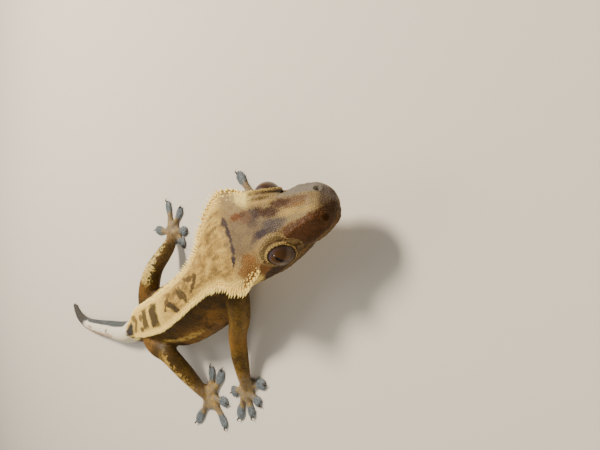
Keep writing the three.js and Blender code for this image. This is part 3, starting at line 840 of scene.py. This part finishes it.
def spineTree():
    tree, net, given = newTree("spines", {"Bend": "Float", "Finish": "Material"})
    cone = net.node("GeometryNodeMeshCone", {"fill_type": "NGON"},
                    {"Vertices": 7, "Side Segments": 4, "Radius Top": 0.04, "Radius Bottom": 0.5,
                     "Depth": 1.0})
    level = heightIn(net)
    lean = net.node("ShaderNodeCombineXYZ", None, {"X": level * level * given["Bend"]})
    bent = net.node("GeometryNodeSetPosition", None, {"Geometry": tipMarked(net, cone), "Offset": lean})
    rotation = net.node("FunctionNodeEulerToRotation", None, {"Euler": net.kept("turn", "FLOAT_VECTOR")})
    onPoints(net, given, given["Geometry"], bent, rotation, net.kept("size", "FLOAT_VECTOR"))
    return tree


# A map for the colours: each scale or spine is a small patch at its root's place on an unwrap of the body
def bakeMap(made, perPiece, patch=0.003):
    mesh = made.data
    count = len(mesh.vertices)
    read = {}
    for name in ("along", "around", "reach", "limb"):
        read[name] = np.empty(count, np.float32)
        mesh.attributes[name].data.foreach_get("value", read[name])
    limbPiece = made.name.startswith("limb")
    u = (read["limb"] + 0.5 + read["around"] / 10.5) / 4 if limbPiece else 0.5 + read["around"] / 10.3
    v = read["reach"] if limbPiece else read["along"]
    v = (v - v.min()) / max(float(np.ptp(v)), 1e-6) * 0.96 + 0.02
    local = np.arange(count) % perPiece
    spin = 2 * np.pi * local / max(perPiece - 1, 1)
    root = np.arange(count) // perPiece * perPiece
    patchX = np.clip(u[root] + np.cos(spin) * patch / 2, 0, 1)
    patchY = np.clip(v[root] + np.sin(spin) * patch / 2, 0, 1)
    loops = np.empty(len(mesh.loops), np.int64)
    mesh.loops.foreach_get("vertex_index", loops)
    layer = mesh.uv_layers.new(name="OFBake")
    layer.data.foreach_set("uv", np.stack([patchX, patchY], -1)[loops].astype(np.float32).ravel())


scales = {
    "head_scales": {"part": 0, "spacing": 0.36, "size": 0.24, "height": 0.1, "slot": "head_skin"},
    "body_scales": {"part": 1, "spacing": 0.39, "size": 0.26, "height": 0.11, "slot": "body_skin"},
    "tail_scales": {"part": 2, "spacing": 0.4, "size": 0.27, "height": 0.08, "slot": "tail_skin"},
    "limb_scales": {"part": 3, "spacing": 0.36, "size": 0.24, "height": 0.1, "slot": "limb_skin"},
}


def makeScales(base, material):
    tree, pieces = scaleTree(), []
    for name, values in scales.items():
        made = linked(name, base.data.copy())
        grown(made, tree, {"Part": float(values["part"]), "Spacing": values["spacing"] * mm,
                           "Density": 4 / (values["spacing"] * mm) ** 2, "Size": values["size"] * mm,
                           "Height": values["height"] * mm, "Seed": 11, "Finish": material})
        corners = cornersOf(made.data)
        corners[:, 2] = np.maximum(corners[:, 2], 0)  # those beside the soles stay above the floor
        corners[:, 1] = np.maximum(corners[:, 1], trunk["snoutEnd"] + 0.02)  # none pass the snout
        setCorners(made.data, corners)
        bakeMap(made, 7)
        print(name, len(made.data.vertices) // 7)
        pieces.append(made)
    return pieces


# Crest and lashes: the points that spines grow from
crest = {
    "from": -5.2, "to": 76.0, "bend": 0.4,
    "length": knotCurve([(-5.2, 0.4), (-3, 0.75), (1, 1.2), (8, 1.4), (16, 1.35), (30, 1.15),
                         (46, 0.95), (62, 0.6), (76, 0.35)]),
    # The rows: place around the body, share of the length, width, spacing, how far a spine may stray
    "rows": [
        (1.0, 1.0, 0.82, 0.98, 0.008), (1.04, 0.42, 0.6, 0.9, 0.015), (0.955, 0.42, 0.62, 0.86, 0.015),
        (0.9, 0.26, 0.52, 0.8, 0.03), (0.82, 0.18, 0.46, 0.85, 0.045)],
}
lash = {"count": 15, "width": 0.36, "length": 0.42, "angle": 69, "from": 24, "to": 160}


def turned(direction, back):  # the rotation that points a spine one way and leans it another
    way = Vector(direction).normalized()
    side = Vector(back) - way * way.dot(Vector(back))
    side.normalize()
    return tuple(Matrix((side, way.cross(side), way)).transposed().to_euler())


def spinePoints():
    draw = random.Random(4)
    roots, turns, sizes, places = [], [], [], []

    def add(root, direction, back, length, width, at):
        way = unit(direction)
        roots.append(np.asarray(root) - way * 0.3)
        turns.append(turned(way, back))
        sizes.append((width * mm, width * mm, (length + 0.3) * mm))
        places.append(at)
    for middle, share, width, spacing, stray in crest["rows"]:
        for side in (-1, 1):
            along = crest["from"] + draw.uniform(0, spacing)
            while along < crest["to"]:
                around = middle + draw.uniform(-stray, stray)
                length = float(crest["length"](along)) * share * draw.uniform(0.78, 1.1)
                lift = (0.42 if around <= 1.02 else -0.1) + max(0, 1 - around) * 2.2
                direction = (side, 0.16 + draw.uniform(-0.16, 0.2), lift + draw.uniform(-0.1, 0.1))
                add(trunkSurface(along, side * around), direction, (0, 1, 0.2), length,
                    width * draw.uniform(0.85, 1.15), (along, side * around))
                along += spacing * draw.uniform(0.75, 1.25)
    for side in (-1, 1):
        for i in range(lash["count"]):
            turn = math.radians(lash["from"] + (lash["to"] - lash["from"]) * i / (lash["count"] - 1))
            axis, forward, up = eyeFrame(side)
            outward = forward * math.cos(turn) + up * math.sin(turn)
            tilt = math.radians(lash["angle"])
            root = axis * math.cos(tilt) + outward * math.sin(tilt)
            length = lash["length"] * (0.45 + 0.55 * math.sin(turn)) * draw.uniform(0.7, 1)
            root = eyeCentre(side) + root * float(skin["lid"]["reach"](lash["angle"]))
            add(root, outward + axis * 0.9, outward, length, lash["width"], (eye["at"], side * 1.1))
    return np.array(roots), np.array(turns), np.array(sizes), np.array(places)


def makeSpines(material):
    roots, turns, sizes, places = spinePoints()
    made = meshObject("crest_spines", (roots, []))
    setAttribute(made.data, "turn", turns, "FLOAT_VECTOR")
    setAttribute(made.data, "size", sizes, "FLOAT_VECTOR")
    along, around = places.T
    for name, values in (("along", along), ("around", around), ("reach", 0 * along), ("limb", 0 * along)):
        setAttribute(made.data, name, values)
    grown(made, spineTree(), {"Bend": crest["bend"], "Finish": material})
    bakeMap(made, len(made.data.vertices) // len(roots))
    print("spines:", len(roots))
    return made


# Eyes: a ball with a slightly proud clear front, and its distance from the pupil kept for the iris
def makeEyes(material):
    shells, slit, across, out, lower = [], [], [], [], []
    for side in (-1, 1):
        axis = eyeFrame(side)[0]
        upright = unit(np.array([0, 0, 1]) - axis * axis[2])
        sideways = np.cross(axis, upright)
        spin = np.linspace(0, 2 * np.pi, 56, endpoint=False)[:, None]
        rings = []
        for tilt in np.linspace(0.01, np.pi - 0.01, 48):
            swell = eye["radius"] * (1 + 0.035 * math.exp(-(tilt / 0.75) ** 2))
            flat = math.sin(tilt) * swell
            rings.append(eyeCentre(side) + axis * math.cos(tilt) * swell
                         + flat * (upright * np.cos(spin) + sideways * np.sin(spin)))
        shell = loft(rings)
        shells.append(shell)
        offset = shell[0] - eyeCentre(side)
        slit += list(offset @ upright)
        across += list(offset @ sideways)
        out += list(offset @ axis)
        # the eye's side, which picks the half of the iris that takes painted shade
        lower += [side] * len(offset)
    made = meshObject("eyes", joined(shells), material)
    for name, values in (("slit", slit), ("across", across), ("out", out), ("lower", lower)):
        setAttribute(made.data, name, values)
    return made


# Claws: one small hook over the tip of each toe
claw = {"length": 0.5, "radius": 0.27, "height": 0.68, "sunk": 1.0, "arch": 0.42, "drop": 0.5,
        "sides": 10, "rings": 11}


def makeClaws(material):
    shells = []
    for limb in limbs.values():
        for knuckle, tip in limb["toes"]:
            way = unit(np.array(tip) - np.array(knuckle))
            level, up = np.array([-way[1], way[0], 0]), np.array([0, 0, 1])
            spin = np.linspace(0, 2 * np.pi, claw["sides"], endpoint=False)[:, None]
            rings = []
            for share in np.linspace(0, 1, claw["rings"]):
                ahead = -claw["sunk"] + (claw["length"] + claw["sunk"]) * share
                arch = claw["arch"] * math.sin(math.pi * share)
                height = claw["height"] + arch - claw["drop"] * share ** 2
                radius = claw["radius"] * (1 - share) ** 0.7 + 0.02
                middle = np.array([*(np.array(tip) + way * ahead), height])
                rings.append(middle + radius * (level * 0.8 * np.cos(spin) + up * np.sin(spin)))
            shells.append(loft(rings))
    return meshObject("claws", joined(shells), material)


# Colours, as they look in daylight
paint = {name: colour(code) for name, code in {
    "cream": "f6d475", "paleCream": "ffe88c", "gold": "d0aa55", "tan": "a3854c", "wheat": "d8b35c",
    "headTan": "987f54", "mauve": "6b5b4d", "greyMauve": "5e5452", "darkMauve": "42363a",
    "wine": "4a2d19", "rust": "633a14", "darkRust": "4c2f0e", "umber": "38240a", "ochre": "94692a",
    "orange": "8c5c24", "brick": "713f17", "rose": "775a40", "sand": "9d885b", "stone": "7d766a",
    "olive": "6b4d1c", "darkOlive": "43300f", "blotch": "604d2e", "darkBlotch": "473a24",
    "oval": "403b35", "white": "f8f6ea", "ivory": "fbefd0", "blush": "b89a82", "slate": "848e95",
    "darkSlate": "51595f", "tailSlate": "687177", "deepSlate": "3a3f44", "fawn": "9a8252",
    "armOlive": "8a6826", "armDark": "533f16", "wristGrey": "8a7e6d", "tipGrey": "5a534c",
    "black": "120d09", "nose": "54453e", "belly": "c9b07c", "lip": "a5814c", "iris": "82552a"
}.items()}

# Marks on the trunk: length along the body, place around it, half-sizes of both, colour, strength, lean
marks = [
    # the snout, the crown and the cheeks
    (-18.2, -0.12, 4.2, 0.4, "sand", 0.85, 0.0), (-17.0, 0.08, 2.2, 0.2, "wheat", 0.5, 0.0),
    (-20.6, -0.16, 1.8, 0.16, "wheat", 0.4, 0.0), (-18.2, 0.62, 3.6, 0.32, "rose", 0.85, 0.0),
    (-19.4, 0.34, 1.6, 0.14, "ochre", 0.55, 0.0), (-7.0, -0.05, 8.0, 0.5, "mauve", 0.6, 0.0),
    (-13.4, -0.24, 2.8, 0.22, "greyMauve", 0.8, 0.0), (-10.0, -0.3, 2.4, 0.13, "darkMauve", 0.95, 1.5),
    (-7.6, -0.34, 1.4, 0.09, "darkMauve", 0.5, 0.0), (-12.6, -0.06, 1.8, 0.12, "greyMauve", 0.7, 0.0),
    (-15.9, 0.64, 1.9, 0.2, "wine", 0.85, -4.0), (-13.2, 0.3, 1.9, 0.19, "wine", 0.95, -2.0),
    (-10.6, 0.34, 2.0, 0.15, "wine", 0.9, 0.0), (-8.4, 0.36, 2.6, 0.2, "darkMauve", 0.7, 0.0),
    (-6.0, 0.34, 2.4, 0.18, "rose", 0.7, 0.0), (-8.2, 0.1, 2.2, 0.1, "darkMauve", 0.45, 0.0),
    (-5.0, -0.22, 2.0, 0.12, "sand", 0.5, 0.0), (-4.6, 0.08, 1.8, 0.1, "sand", 0.4, 0.0),
    (-3.4, 0.38, 1.6, 0.1, "brick", 0.85, 0.0), (-5.4, 0.42, 1.0, 0.07, "wine", 0.6, 0.0),
    (0.45, -0.4, 0.9, 0.12, "darkMauve", 1.0, -2.0), (-0.4, -0.22, 0.8, 0.11, "darkMauve", 0.95, -2.0),
    (-0.6, -0.02, 0.5, 0.12, "darkMauve", 0.85, 1.0), (-0.1, 0.16, 0.7, 0.14, "darkMauve", 0.95, 2.0),
    (0.2, 0.34, 0.8, 0.1, "darkMauve", 0.9, 0.0), (-12.6, 0.72, 3.2, 0.07, "wine", 0.7, 0.0),
    (-12.0, 1.1, 2.6, 0.45, "fawn", 0.85, 0.0), (-6.4, 0.92, 3.8, 0.3, "paleCream", 0.9, 0.0),
    (-6.4, 1.5, 3.0, 0.36, "cream", 0.7, 0.0), (-18.0, 1.5, 4.4, 0.6, "stone", 0.7, 0.0),
    (-9.5, -0.74, 4.6, 0.16, "fawn", 0.85, 0.0), (-3.4, -0.72, 3.4, 0.22, "orange", 0.75, 0.0),
    # the umber mark at -8.4, low on the right cheek under the eye, is painted shade
    (-2.0, -0.9, 4.0, 0.07, "orange", 0.6, 0.0), (-8.4, -2.3, 4.6, 0.6, "umber", 0.75, 0.0),
    (-6.4, -1.4, 3.2, 0.42, "orange", 0.9, -0.6), (-1.6, -1.55, 2.4, 0.55, "cream", 0.9, -0.8),
    (-17.5, -1.3, 2.6, 0.4, "rust", 0.7, 0.0), (-20.2, -2.4, 3.4, 0.14, "fawn", 0.4, 2.0),
    (-16.5, -2.5, 2.4, 0.12, "fawn", 0.35, 2.0),
    # the neck and the back
    (6.6, 0.36, 3.0, 0.08, "blotch", 0.5, -3.0), (10.0, -0.5, 3.4, 0.09, "blotch", 0.4, 3.0),
    (12.5, 0.12, 3.2, 0.08, "ochre", 0.5, -4.0), (20.8, -0.2, 1.5, 0.3, "blotch", 0.95, -7.0),
    (22.2, 0.32, 1.5, 0.32, "blotch", 0.9, 7.0), (19.2, 0.06, 1.7, 0.18, "blotch", 0.8, 0.0),
    (24.6, 0.1, 1.3, 0.22, "blotch", 0.6, 5.0), (27.4, -0.12, 1.65, 0.64, "darkBlotch", 0.85, 2.6),
    (30.4, 0.34, 1.4, 0.16, "blotch", 0.6, 4.0), (33.0, -0.58, 1.7, 0.26, "darkBlotch", 0.95, 5.5),
    (35.0, -0.16, 1.9, 0.36, "darkBlotch", 0.95, 6.0), (37.2, 0.2, 1.9, 0.2, "blotch", 0.9, 0.0),
    (38.9, -0.12, 1.1, 0.16, "darkBlotch", 0.85, 0.0), (35.0, 0.44, 1.8, 0.12, "blotch", 0.6, 0.0),
    (63.4, -0.56, 2.4, 0.18, "blotch", 0.9, 0.0), (63.0, 0.18, 2.0, 0.24, "blotch", 0.85, 0.0),
    (70.6, -0.22, 2.4, 0.46, "blotch", 0.8, -7.0), (72.6, 0.48, 2.9, 0.5, "blotch", 0.8, 7.0),
    (81.9, -0.34, 7.4, 0.72, "oval", 1.0, -3.0),
    # the tail
    (110.6, 0.24, 1.1, 0.34, "blotch", 0.75, 0.0), (108.5, -0.6, 4.0, 0.5, "blush", 0.6, 0.0),
    (118.5, -0.5, 0.9, 0.18, "blotch", 0.5, 0.0), (126.5, -0.7, 1.4, 0.24, "blotch", 0.55, 0.0),
    (132.0, 0.1, 3.6, 0.4, "blush", 0.7, 0.0), (137.6, 1.0, 2.6, 0.5, "white", 0.8, 0.0),
]
# Bars across the back are squarer, and given in the same way
bars = [
    (49.2, -0.06, 3.5, 0.72, "darkBlotch", 0.95, 0.3), (51.6, -0.05, 0.6, 0.5, "blotch", 0.7, 0.0),
    (58.6, 0.0, 2.7, 0.64, "darkBlotch", 0.9, 0.4),
]


def skinMaterial():
    material, net, where = newMaterial("gecko skin")
    exactAlong, exactAround, reach, onLimb = net.attributes("along", "around", "reach", "onLimb")
    hind, limbIndex, up, grain = net.attributes("hind", "limb", "up", "grain")
    tip, eyeAngle = net.attributes("tip", "eyeAngle")
    coarse, medium, fine = (net.noise(where, scale, detail, 0.6) - 0.5
                            for scale, detail in ((260, 4), (700, 3), (1900, 2)))
    mottle = medium + fine
    ragged = mottle * 2.6 + (grain - 0.5) * 0.35
    edge = abs(exactAround) + coarse * 0.14 + medium * 0.1
    along = exactAlong + coarse * 2.4 + medium * 1.2
    around = exactAround + coarse * 0.16 + medium * 0.1
    tail = net.step(along, 85.5, 90)

    # The trunk, from the middle of the back down
    streaks = net.node("ShaderNodeMapping", None, {"Vector": where, "Scale": (1, 0.22, 1)})
    streak = net.noise(streaks, 900, 2)
    base = net.layers(
        net.mix(net.step(mottle, -0.22, 0.25), "tan", "gold"),
        (net.step(streak, 0.48, 0.66) * 0.5, "cream"), (net.fall(streak, 0.36, 0.47) * 0.4, "blotch"),
        (net.step(along, 36, 44) * 0.8, "cream"),
        (net.step(edge, 0.62, 0.86) * net.step(along, -4, 2) * 0.9, "cream"),
        (net.step(edge, 1.25, 1.7) * net.fall(along, 12, 16) * 0.8, "gold"))
    border = 0.92 + net.step(along, 25, 40) * 0.05 + net.step(along, 62, 80) * 0.2
    flank = net.step(edge - border, -0.04, 0.04) * net.step(along, 11, 15) * (1 - tail)
    dark = net.mix(net.step(coarse + mottle * 0.6, -0.2, 0.3), "darkOlive", "olive")
    # An ochre band low on the flank, partly its own colour and partly painted light where the belly edge
    # is lit
    golden = net.band(edge, 1.55, 2.5, 0.12) * net.band(along, 21, 45, 2.5)
    # Painted highlight: a thin wheat line along the lower flank
    rim = net.fall(abs(edge - 1.72 + (along - 44) * 0.012), 0.04, 0.13)
    hip = net.fall(abs(edge - 1.14 - (along - 72) * 0.033), 0.12, 0.26)
    base = net.layers(
        net.mix(flank, base, dark), (golden * net.step(mottle + coarse, -0.35, 0.2) * 0.9, "ochre"),
        (rim * net.band(along, 33, 54, 2.5) * net.step(mottle, -0.25, 0.05) * 0.85, "wheat"),
        (net.band(edge, 1.85, 3.1, 0.2) * net.band(along, 46, 66, 4) * 0.8, "umber"),
        (net.step(edge, 3.2, 4.1) * net.step(along, 6, 12), "belly"),
        (hip * net.band(along, 76, 91, 2), "paleCream"))

    # The tail: white above, blush on the right, slate low on the left and at the tip
    above = net.mix(net.step(mottle, -0.2, 0.3), "white", "ivory")
    above = net.mix(net.fall(around, -0.7, 0.1) * 0.8, above, "ivory")
    base = net.mix(tail, base, above)
    base = net.mix(tail * net.fall(around, -1, -0.2) * net.step(along, 104, 118) * 0.85, base, "blush")
    under = net.most(net.step(around, 1.15, 1.35), net.fall(around, -2.4, -1.8)) * net.step(along, 91, 97)
    slate = net.mix(net.step(mottle, -0.3, 0.3), "tailSlate", "deepSlate")
    base = net.mix(tail * under, base, slate)
    end = net.mix(net.step(mottle, -0.2, 0.2), "tipGrey", "deepSlate")
    base = net.mix(net.step(along, 137, 143), base, end)
    base = net.mix(net.step(mottle, 0.14, 0.26) * tail * 0.3, base, "fawn")

    # The head
    crown = net.mix(net.step(medium + fine * 0.6, -0.25, 0.25), "headTan", "sand")
    crown = net.mix(net.step(coarse + fine * 0.5, 0.02, 0.24) * 0.4, crown, "mauve")
    # The sides of the head below the crest: dark rust on the right, partly its own tone and partly painted
    # shade, stone grey on the left
    face = net.mix(net.step(around, 0.2, 1.2), "darkRust", "stone")
    crown = net.mix(net.step(edge, 1.0, 1.35), crown, face)
    canthus = net.step(mottle * 0.5 - around, 0.36, 0.68) * net.fall(along, -14.8, -12.8)
    crown = net.mix(canthus, crown, net.mix(net.step(mottle, -0.2, 0.25), "darkRust", "rust"))
    # Painted shade: umber over the lower sides of the head, under the crest, twice as strong on the right
    # as on the left
    low = net.step(edge, 1.6, 2.3) * (1 - net.step(around, 0, 1) * 0.5)
    crown = net.layers(crown, (low * 0.55, "umber"), (net.step(edge, 3.9, 4.5), "belly"))
    base = net.mix(net.fall(along, -1.5, 3), base, crown)

    for table, square in ((marks, False), (bars, True)):
        for length, side, long, wide, name, strength, lean in table:
            u = abs(along - length - (around - side) * lean) * (1 / long)
            v = abs(around - side) * (1 / wide)
            field = net.most(u, v) ** 3 if square else u * u + v * v
            wear, low, high = (0.6, 0.2, 1.6) if length < 6 else (0.85, 0.6, 1.2)  # softer on the head
            base = net.mix(net.fall(field + ragged * wear, low, high) * strength, base, name)
    muzzle = net.mix(net.step(around, -0.6, 0.6), "umber", "nose")
    base = net.mix(net.fall(along, -24, -22.4) * 0.85, base, muzzle)
    # A pale band along the lips, partly their own colour and partly a painted highlight on the lit lip
    # edge
    lips = net.band(abs(exactAround), 2.76, 3.16, 0.06) * net.band(exactAlong, -24.2, -4, 0.8)
    base = net.mix(lips * (0.45 + 0.6 * mottle), base, "lip")

    # Rings round the eye, from the outer one in, weaker below it
    upper = 1 - net.step(edge, 2.0, 2.7) * 0.7
    base = net.layers(
        base, (net.band(eyeAngle, 80, 112, 3) * upper * 0.55, "fawn"),
        (net.band(eyeAngle, 102, 110, 2) * upper * 0.4, "wheat"),
        (net.band(eyeAngle, 74, 80, 1.5) * 0.7, "darkRust"),
        (net.band(eyeAngle, 62, 74, 1.5) * upper * 0.75, "fawn"),
        (net.band(eyeAngle, 63.5, 69, 1.5) * upper * 0.5, "wheat"),
        (net.fall(eyeAngle, 60, 62.5) * 0.95, "umber"))

    # The limbs, from the root to the toes
    scaly = net.mix(net.step(mottle + coarse, -0.25, 0.25), "armDark", "armOlive")
    arm = net.layers(
        scaly, (net.fall(reach, 0.12, 0.36) * 0.6, "darkOlive"),
        (net.band(reach, 0.42, 0.6, 0.05) * 0.5, "ochre"),
        (net.band(reach, 0.64, 0.74, 0.04) * 0.5, "darkOlive"))
    leg = net.layers(
        scaly, (0.55, "darkOlive"),
        (net.band(reach, 0.2, 0.38, 0.06) * net.step(mottle, -0.25, 0.15) * 0.75, "ochre"),
        (net.band(reach, 0.42, 0.52, 0.04) * net.step(mottle, -0.2, 0.1) * 0.8, "darkOlive"))
    onLeft = net.step(limbIndex, 2.4, 2.6)
    # On the hind legs the up-facing top of the leg takes pale streaks, partly their own colour and partly
    # a painted highlight where light falls on the top
    ridge = net.step(up + mottle * 1.1, 0.78 - onLeft * 0.14, 0.92 - onLeft * 0.12)
    ridge = ridge * net.band(reach, 0.5 - onLeft * 0.14, 0.86, 0.05)
    streakAndHighlightTone = net.mix(onLeft * net.step(fine, -0.1, 0.1), "wheat", "paleCream")
    limb = net.mix(hind, arm, net.mix(ridge * 0.85, leg, streakAndHighlightTone))
    speckle = net.mix(net.step(fine, -0.08, 0.1), "armOlive", "wristGrey")
    palm = net.mix(net.step(mottle, -0.2, 0.2), "wristGrey", "fawn")
    palm = net.mix(net.step(mottle, 0.05, 0.22) * 0.5, palm, "wheat")
    pad = net.mix(net.step(fine, -0.2, 0.2), "darkSlate", "slate")
    for start, end, tone in ((0.76, 0.9, speckle), (0.92, 1.05, palm), (1.54, 1.66, pad)):
        limb = net.mix(net.step(reach, start, end), limb, tone)
    base = net.mix(net.step(onLimb, 0.15, 0.6), base, limb)

    # Painted shade between the scales and painted highlights on their tips, with a random tone per scale
    shade = (0.74 + 0.3 * net.step(tip, 0.0, 0.75)) * (0.88 + 0.26 * grain)
    grey = net.node("ShaderNodeCombineXYZ", None, {"X": shade, "Y": shade, "Z": shade})
    base = net.mix(1.0, base, grey, "MULTIPLY")
    rough = 0.52 + 0.12 * medium + 0.08 * net.step(up, 0.2, 0.9) - 0.08 * net.step(onLimb, 0.3, 0.7)
    bump = net.node("ShaderNodeBump", None,
                    {"Strength": 0.4, "Distance": 0.00012, "Height": net.noise(where, 4200, 2)})
    principled(net, {"Base Color": base, "Roughness": rough, "Normal": bump, "Specular IOR Level": 0.28})
    return material


def spineMaterial():
    material, net, where = newMaterial("spine")
    tip, grain, along = net.attributes("tip", "grain", "along")
    base = net.layers(
        net.mix(net.step(tip, 0.05, 0.6), "wheat", "paleCream"),
        (net.step(grain, 0.55, 1.0) * 0.5, "cream"),
        (net.step(net.noise(where, 2500, 2), 0.55, 0.8) * 0.4, "gold"),
        (net.fall(along, -9, -7) * 0.7, "fawn"))
    principled(net, {"Base Color": base, "Roughness": 0.5 + 0.1 * grain, "Specular IOR Level": 0.3})
    return material


def eyeMaterial():
    material, net, where = newMaterial("eye")
    slit, across, out, lower = net.attributes("slit", "across", "out", "lower")
    veins = net.noise(where, 1500, 4, 0.7, {"noise_type": "RIDGED_MULTIFRACTAL"})
    radius = net.math("SQRT", slit * slit + across * across)
    base = net.layers(
        net.mix(net.step(veins, 0.4, 1.3), "darkRust", "iris"), (net.step(radius, 1.9, 2.4), "darkMauve"),
        # painted shade: the lower half of the iris, as seen, darkened with umber
        (net.step(across * lower, 0.1, 1.6) * 0.75, "umber"))
    wave = net.math("SINE", slit * 6.5) * 0.07
    half = 0.36 * (1 - (slit / 2.35) ** 2) + wave
    pupil = net.fall(abs(across), half - 0.05, half + 0.05)
    pupil = pupil * net.step(out, 0, 0.4) * net.fall(abs(slit), 2.2, 2.35)
    base = net.mix(pupil, base, "black")
    principled(net, {"Base Color": base, "Roughness": 0.32 - 0.1 * pupil, "Coat Weight": 0.4,
                     "Coat Roughness": 0.03, "Coat IOR": 1.4, "Specular IOR Level": 0.3})
    return material


def clawMaterial():
    material, net, where = newMaterial("claw")
    base = net.mix(net.noise(where, 1800, 2), "black", "umber")
    principled(net, {"Base Color": base, "Roughness": 0.28 + 0.1 * net.noise(where, 3000, 1)})
    return material


def floorMaterial():
    material, net, where = newMaterial("floor")
    base = net.mix(net.noise(where, 3, 2) * 0.12, colour("cfc9bf"), colour("b9b2a6"))
    principled(net, {"Base Color": base, "Roughness": 0.75})
    return material


# Floor, lights and camera
stage = {
    "camera": (-24.5, -73.3, 76), "right": (-0.29635, -0.64298, -0.70622),
    "up": (0.9218, -0.38607, -0.03531), "focal": 450, "picture": 600, "sensor": 36,
    "lights": {  # place, size, watts, colour
        "key": ((280, 40, 330), 110, 3.9, "fff0da"), "fill": ((-260, -180, 240), 320, 0.9, "f4ecdc"),
        "rim": ((120, 330, 260), 200, 0.7, "fff6ea"), "glint": ((-104, 91, 234), 14, 0.05, "ffffff")},
    "aim": (0, 20, 8), "sky": ("e8e6e2", 0.25),
}


def makeStage():
    bpy.ops.mesh.primitive_plane_add(size=1.6)
    floor = bpy.context.active_object
    floor.name = "floor"
    floor.data.materials.append(floorMaterial())
    for name, (spot, size, watts, tone) in stage["lights"].items():
        light = bpy.data.lights.new(name, "AREA")
        light.shape, light.size, light.energy, light.color = "DISK", size * mm, watts, colour(tone)[:3]
        lamp = linked(name, light)
        lamp.location = Vector(spot) * mm + Vector(toFrame)
        lamp.visible_glossy = name in ("key", "glint")
        lamp.visible_diffuse = name != "glint"  # which only lights the right eye's highlight
        lamp.rotation_euler = (Vector(spot) - Vector(stage["aim"])).to_track_quat("Z", "Y").to_euler()
    world = bpy.data.worlds.new("sky")
    world.use_nodes = True
    tone, strength = stage["sky"]
    world.node_tree.nodes["Background"].inputs["Color"].default_value = colour(tone)
    world.node_tree.nodes["Background"].inputs["Strength"].default_value = strength
    bpy.context.scene.world = world
    lens = bpy.data.cameras.new("camera")
    lens.sensor_width = stage["sensor"]
    lens.lens = stage["focal"] / stage["picture"] * stage["sensor"]
    lens.clip_start, lens.clip_end = 0.005, 10
    camera = linked("camera", lens)
    right, up = Vector(stage["right"]), Vector(stage["up"])
    turn = Matrix((right, up, right.cross(up))).transposed().to_4x4()
    camera.matrix_world = Matrix.Translation(Vector(stage["camera"]) * mm + Vector(toFrame)) @ turn
    bpy.context.scene.camera = camera


makeStage()
skinFinish = skinMaterial()
geckoSkin = makeSkin(skinFinish)
scalePieces = makeScales(geckoSkin, skinFinish)
crestSpines = makeSpines(spineMaterial())
eyes = makeEyes(eyeMaterial())
claws = makeClaws(clawMaterial())

flesh = [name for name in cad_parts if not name.startswith("eye_")]
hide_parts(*flesh)
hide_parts("eye_left", "eye_right")
for piece in (geckoSkin, *scalePieces, crestSpines, eyes, claws):
    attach(piece, "root")
print("pieces dressed")
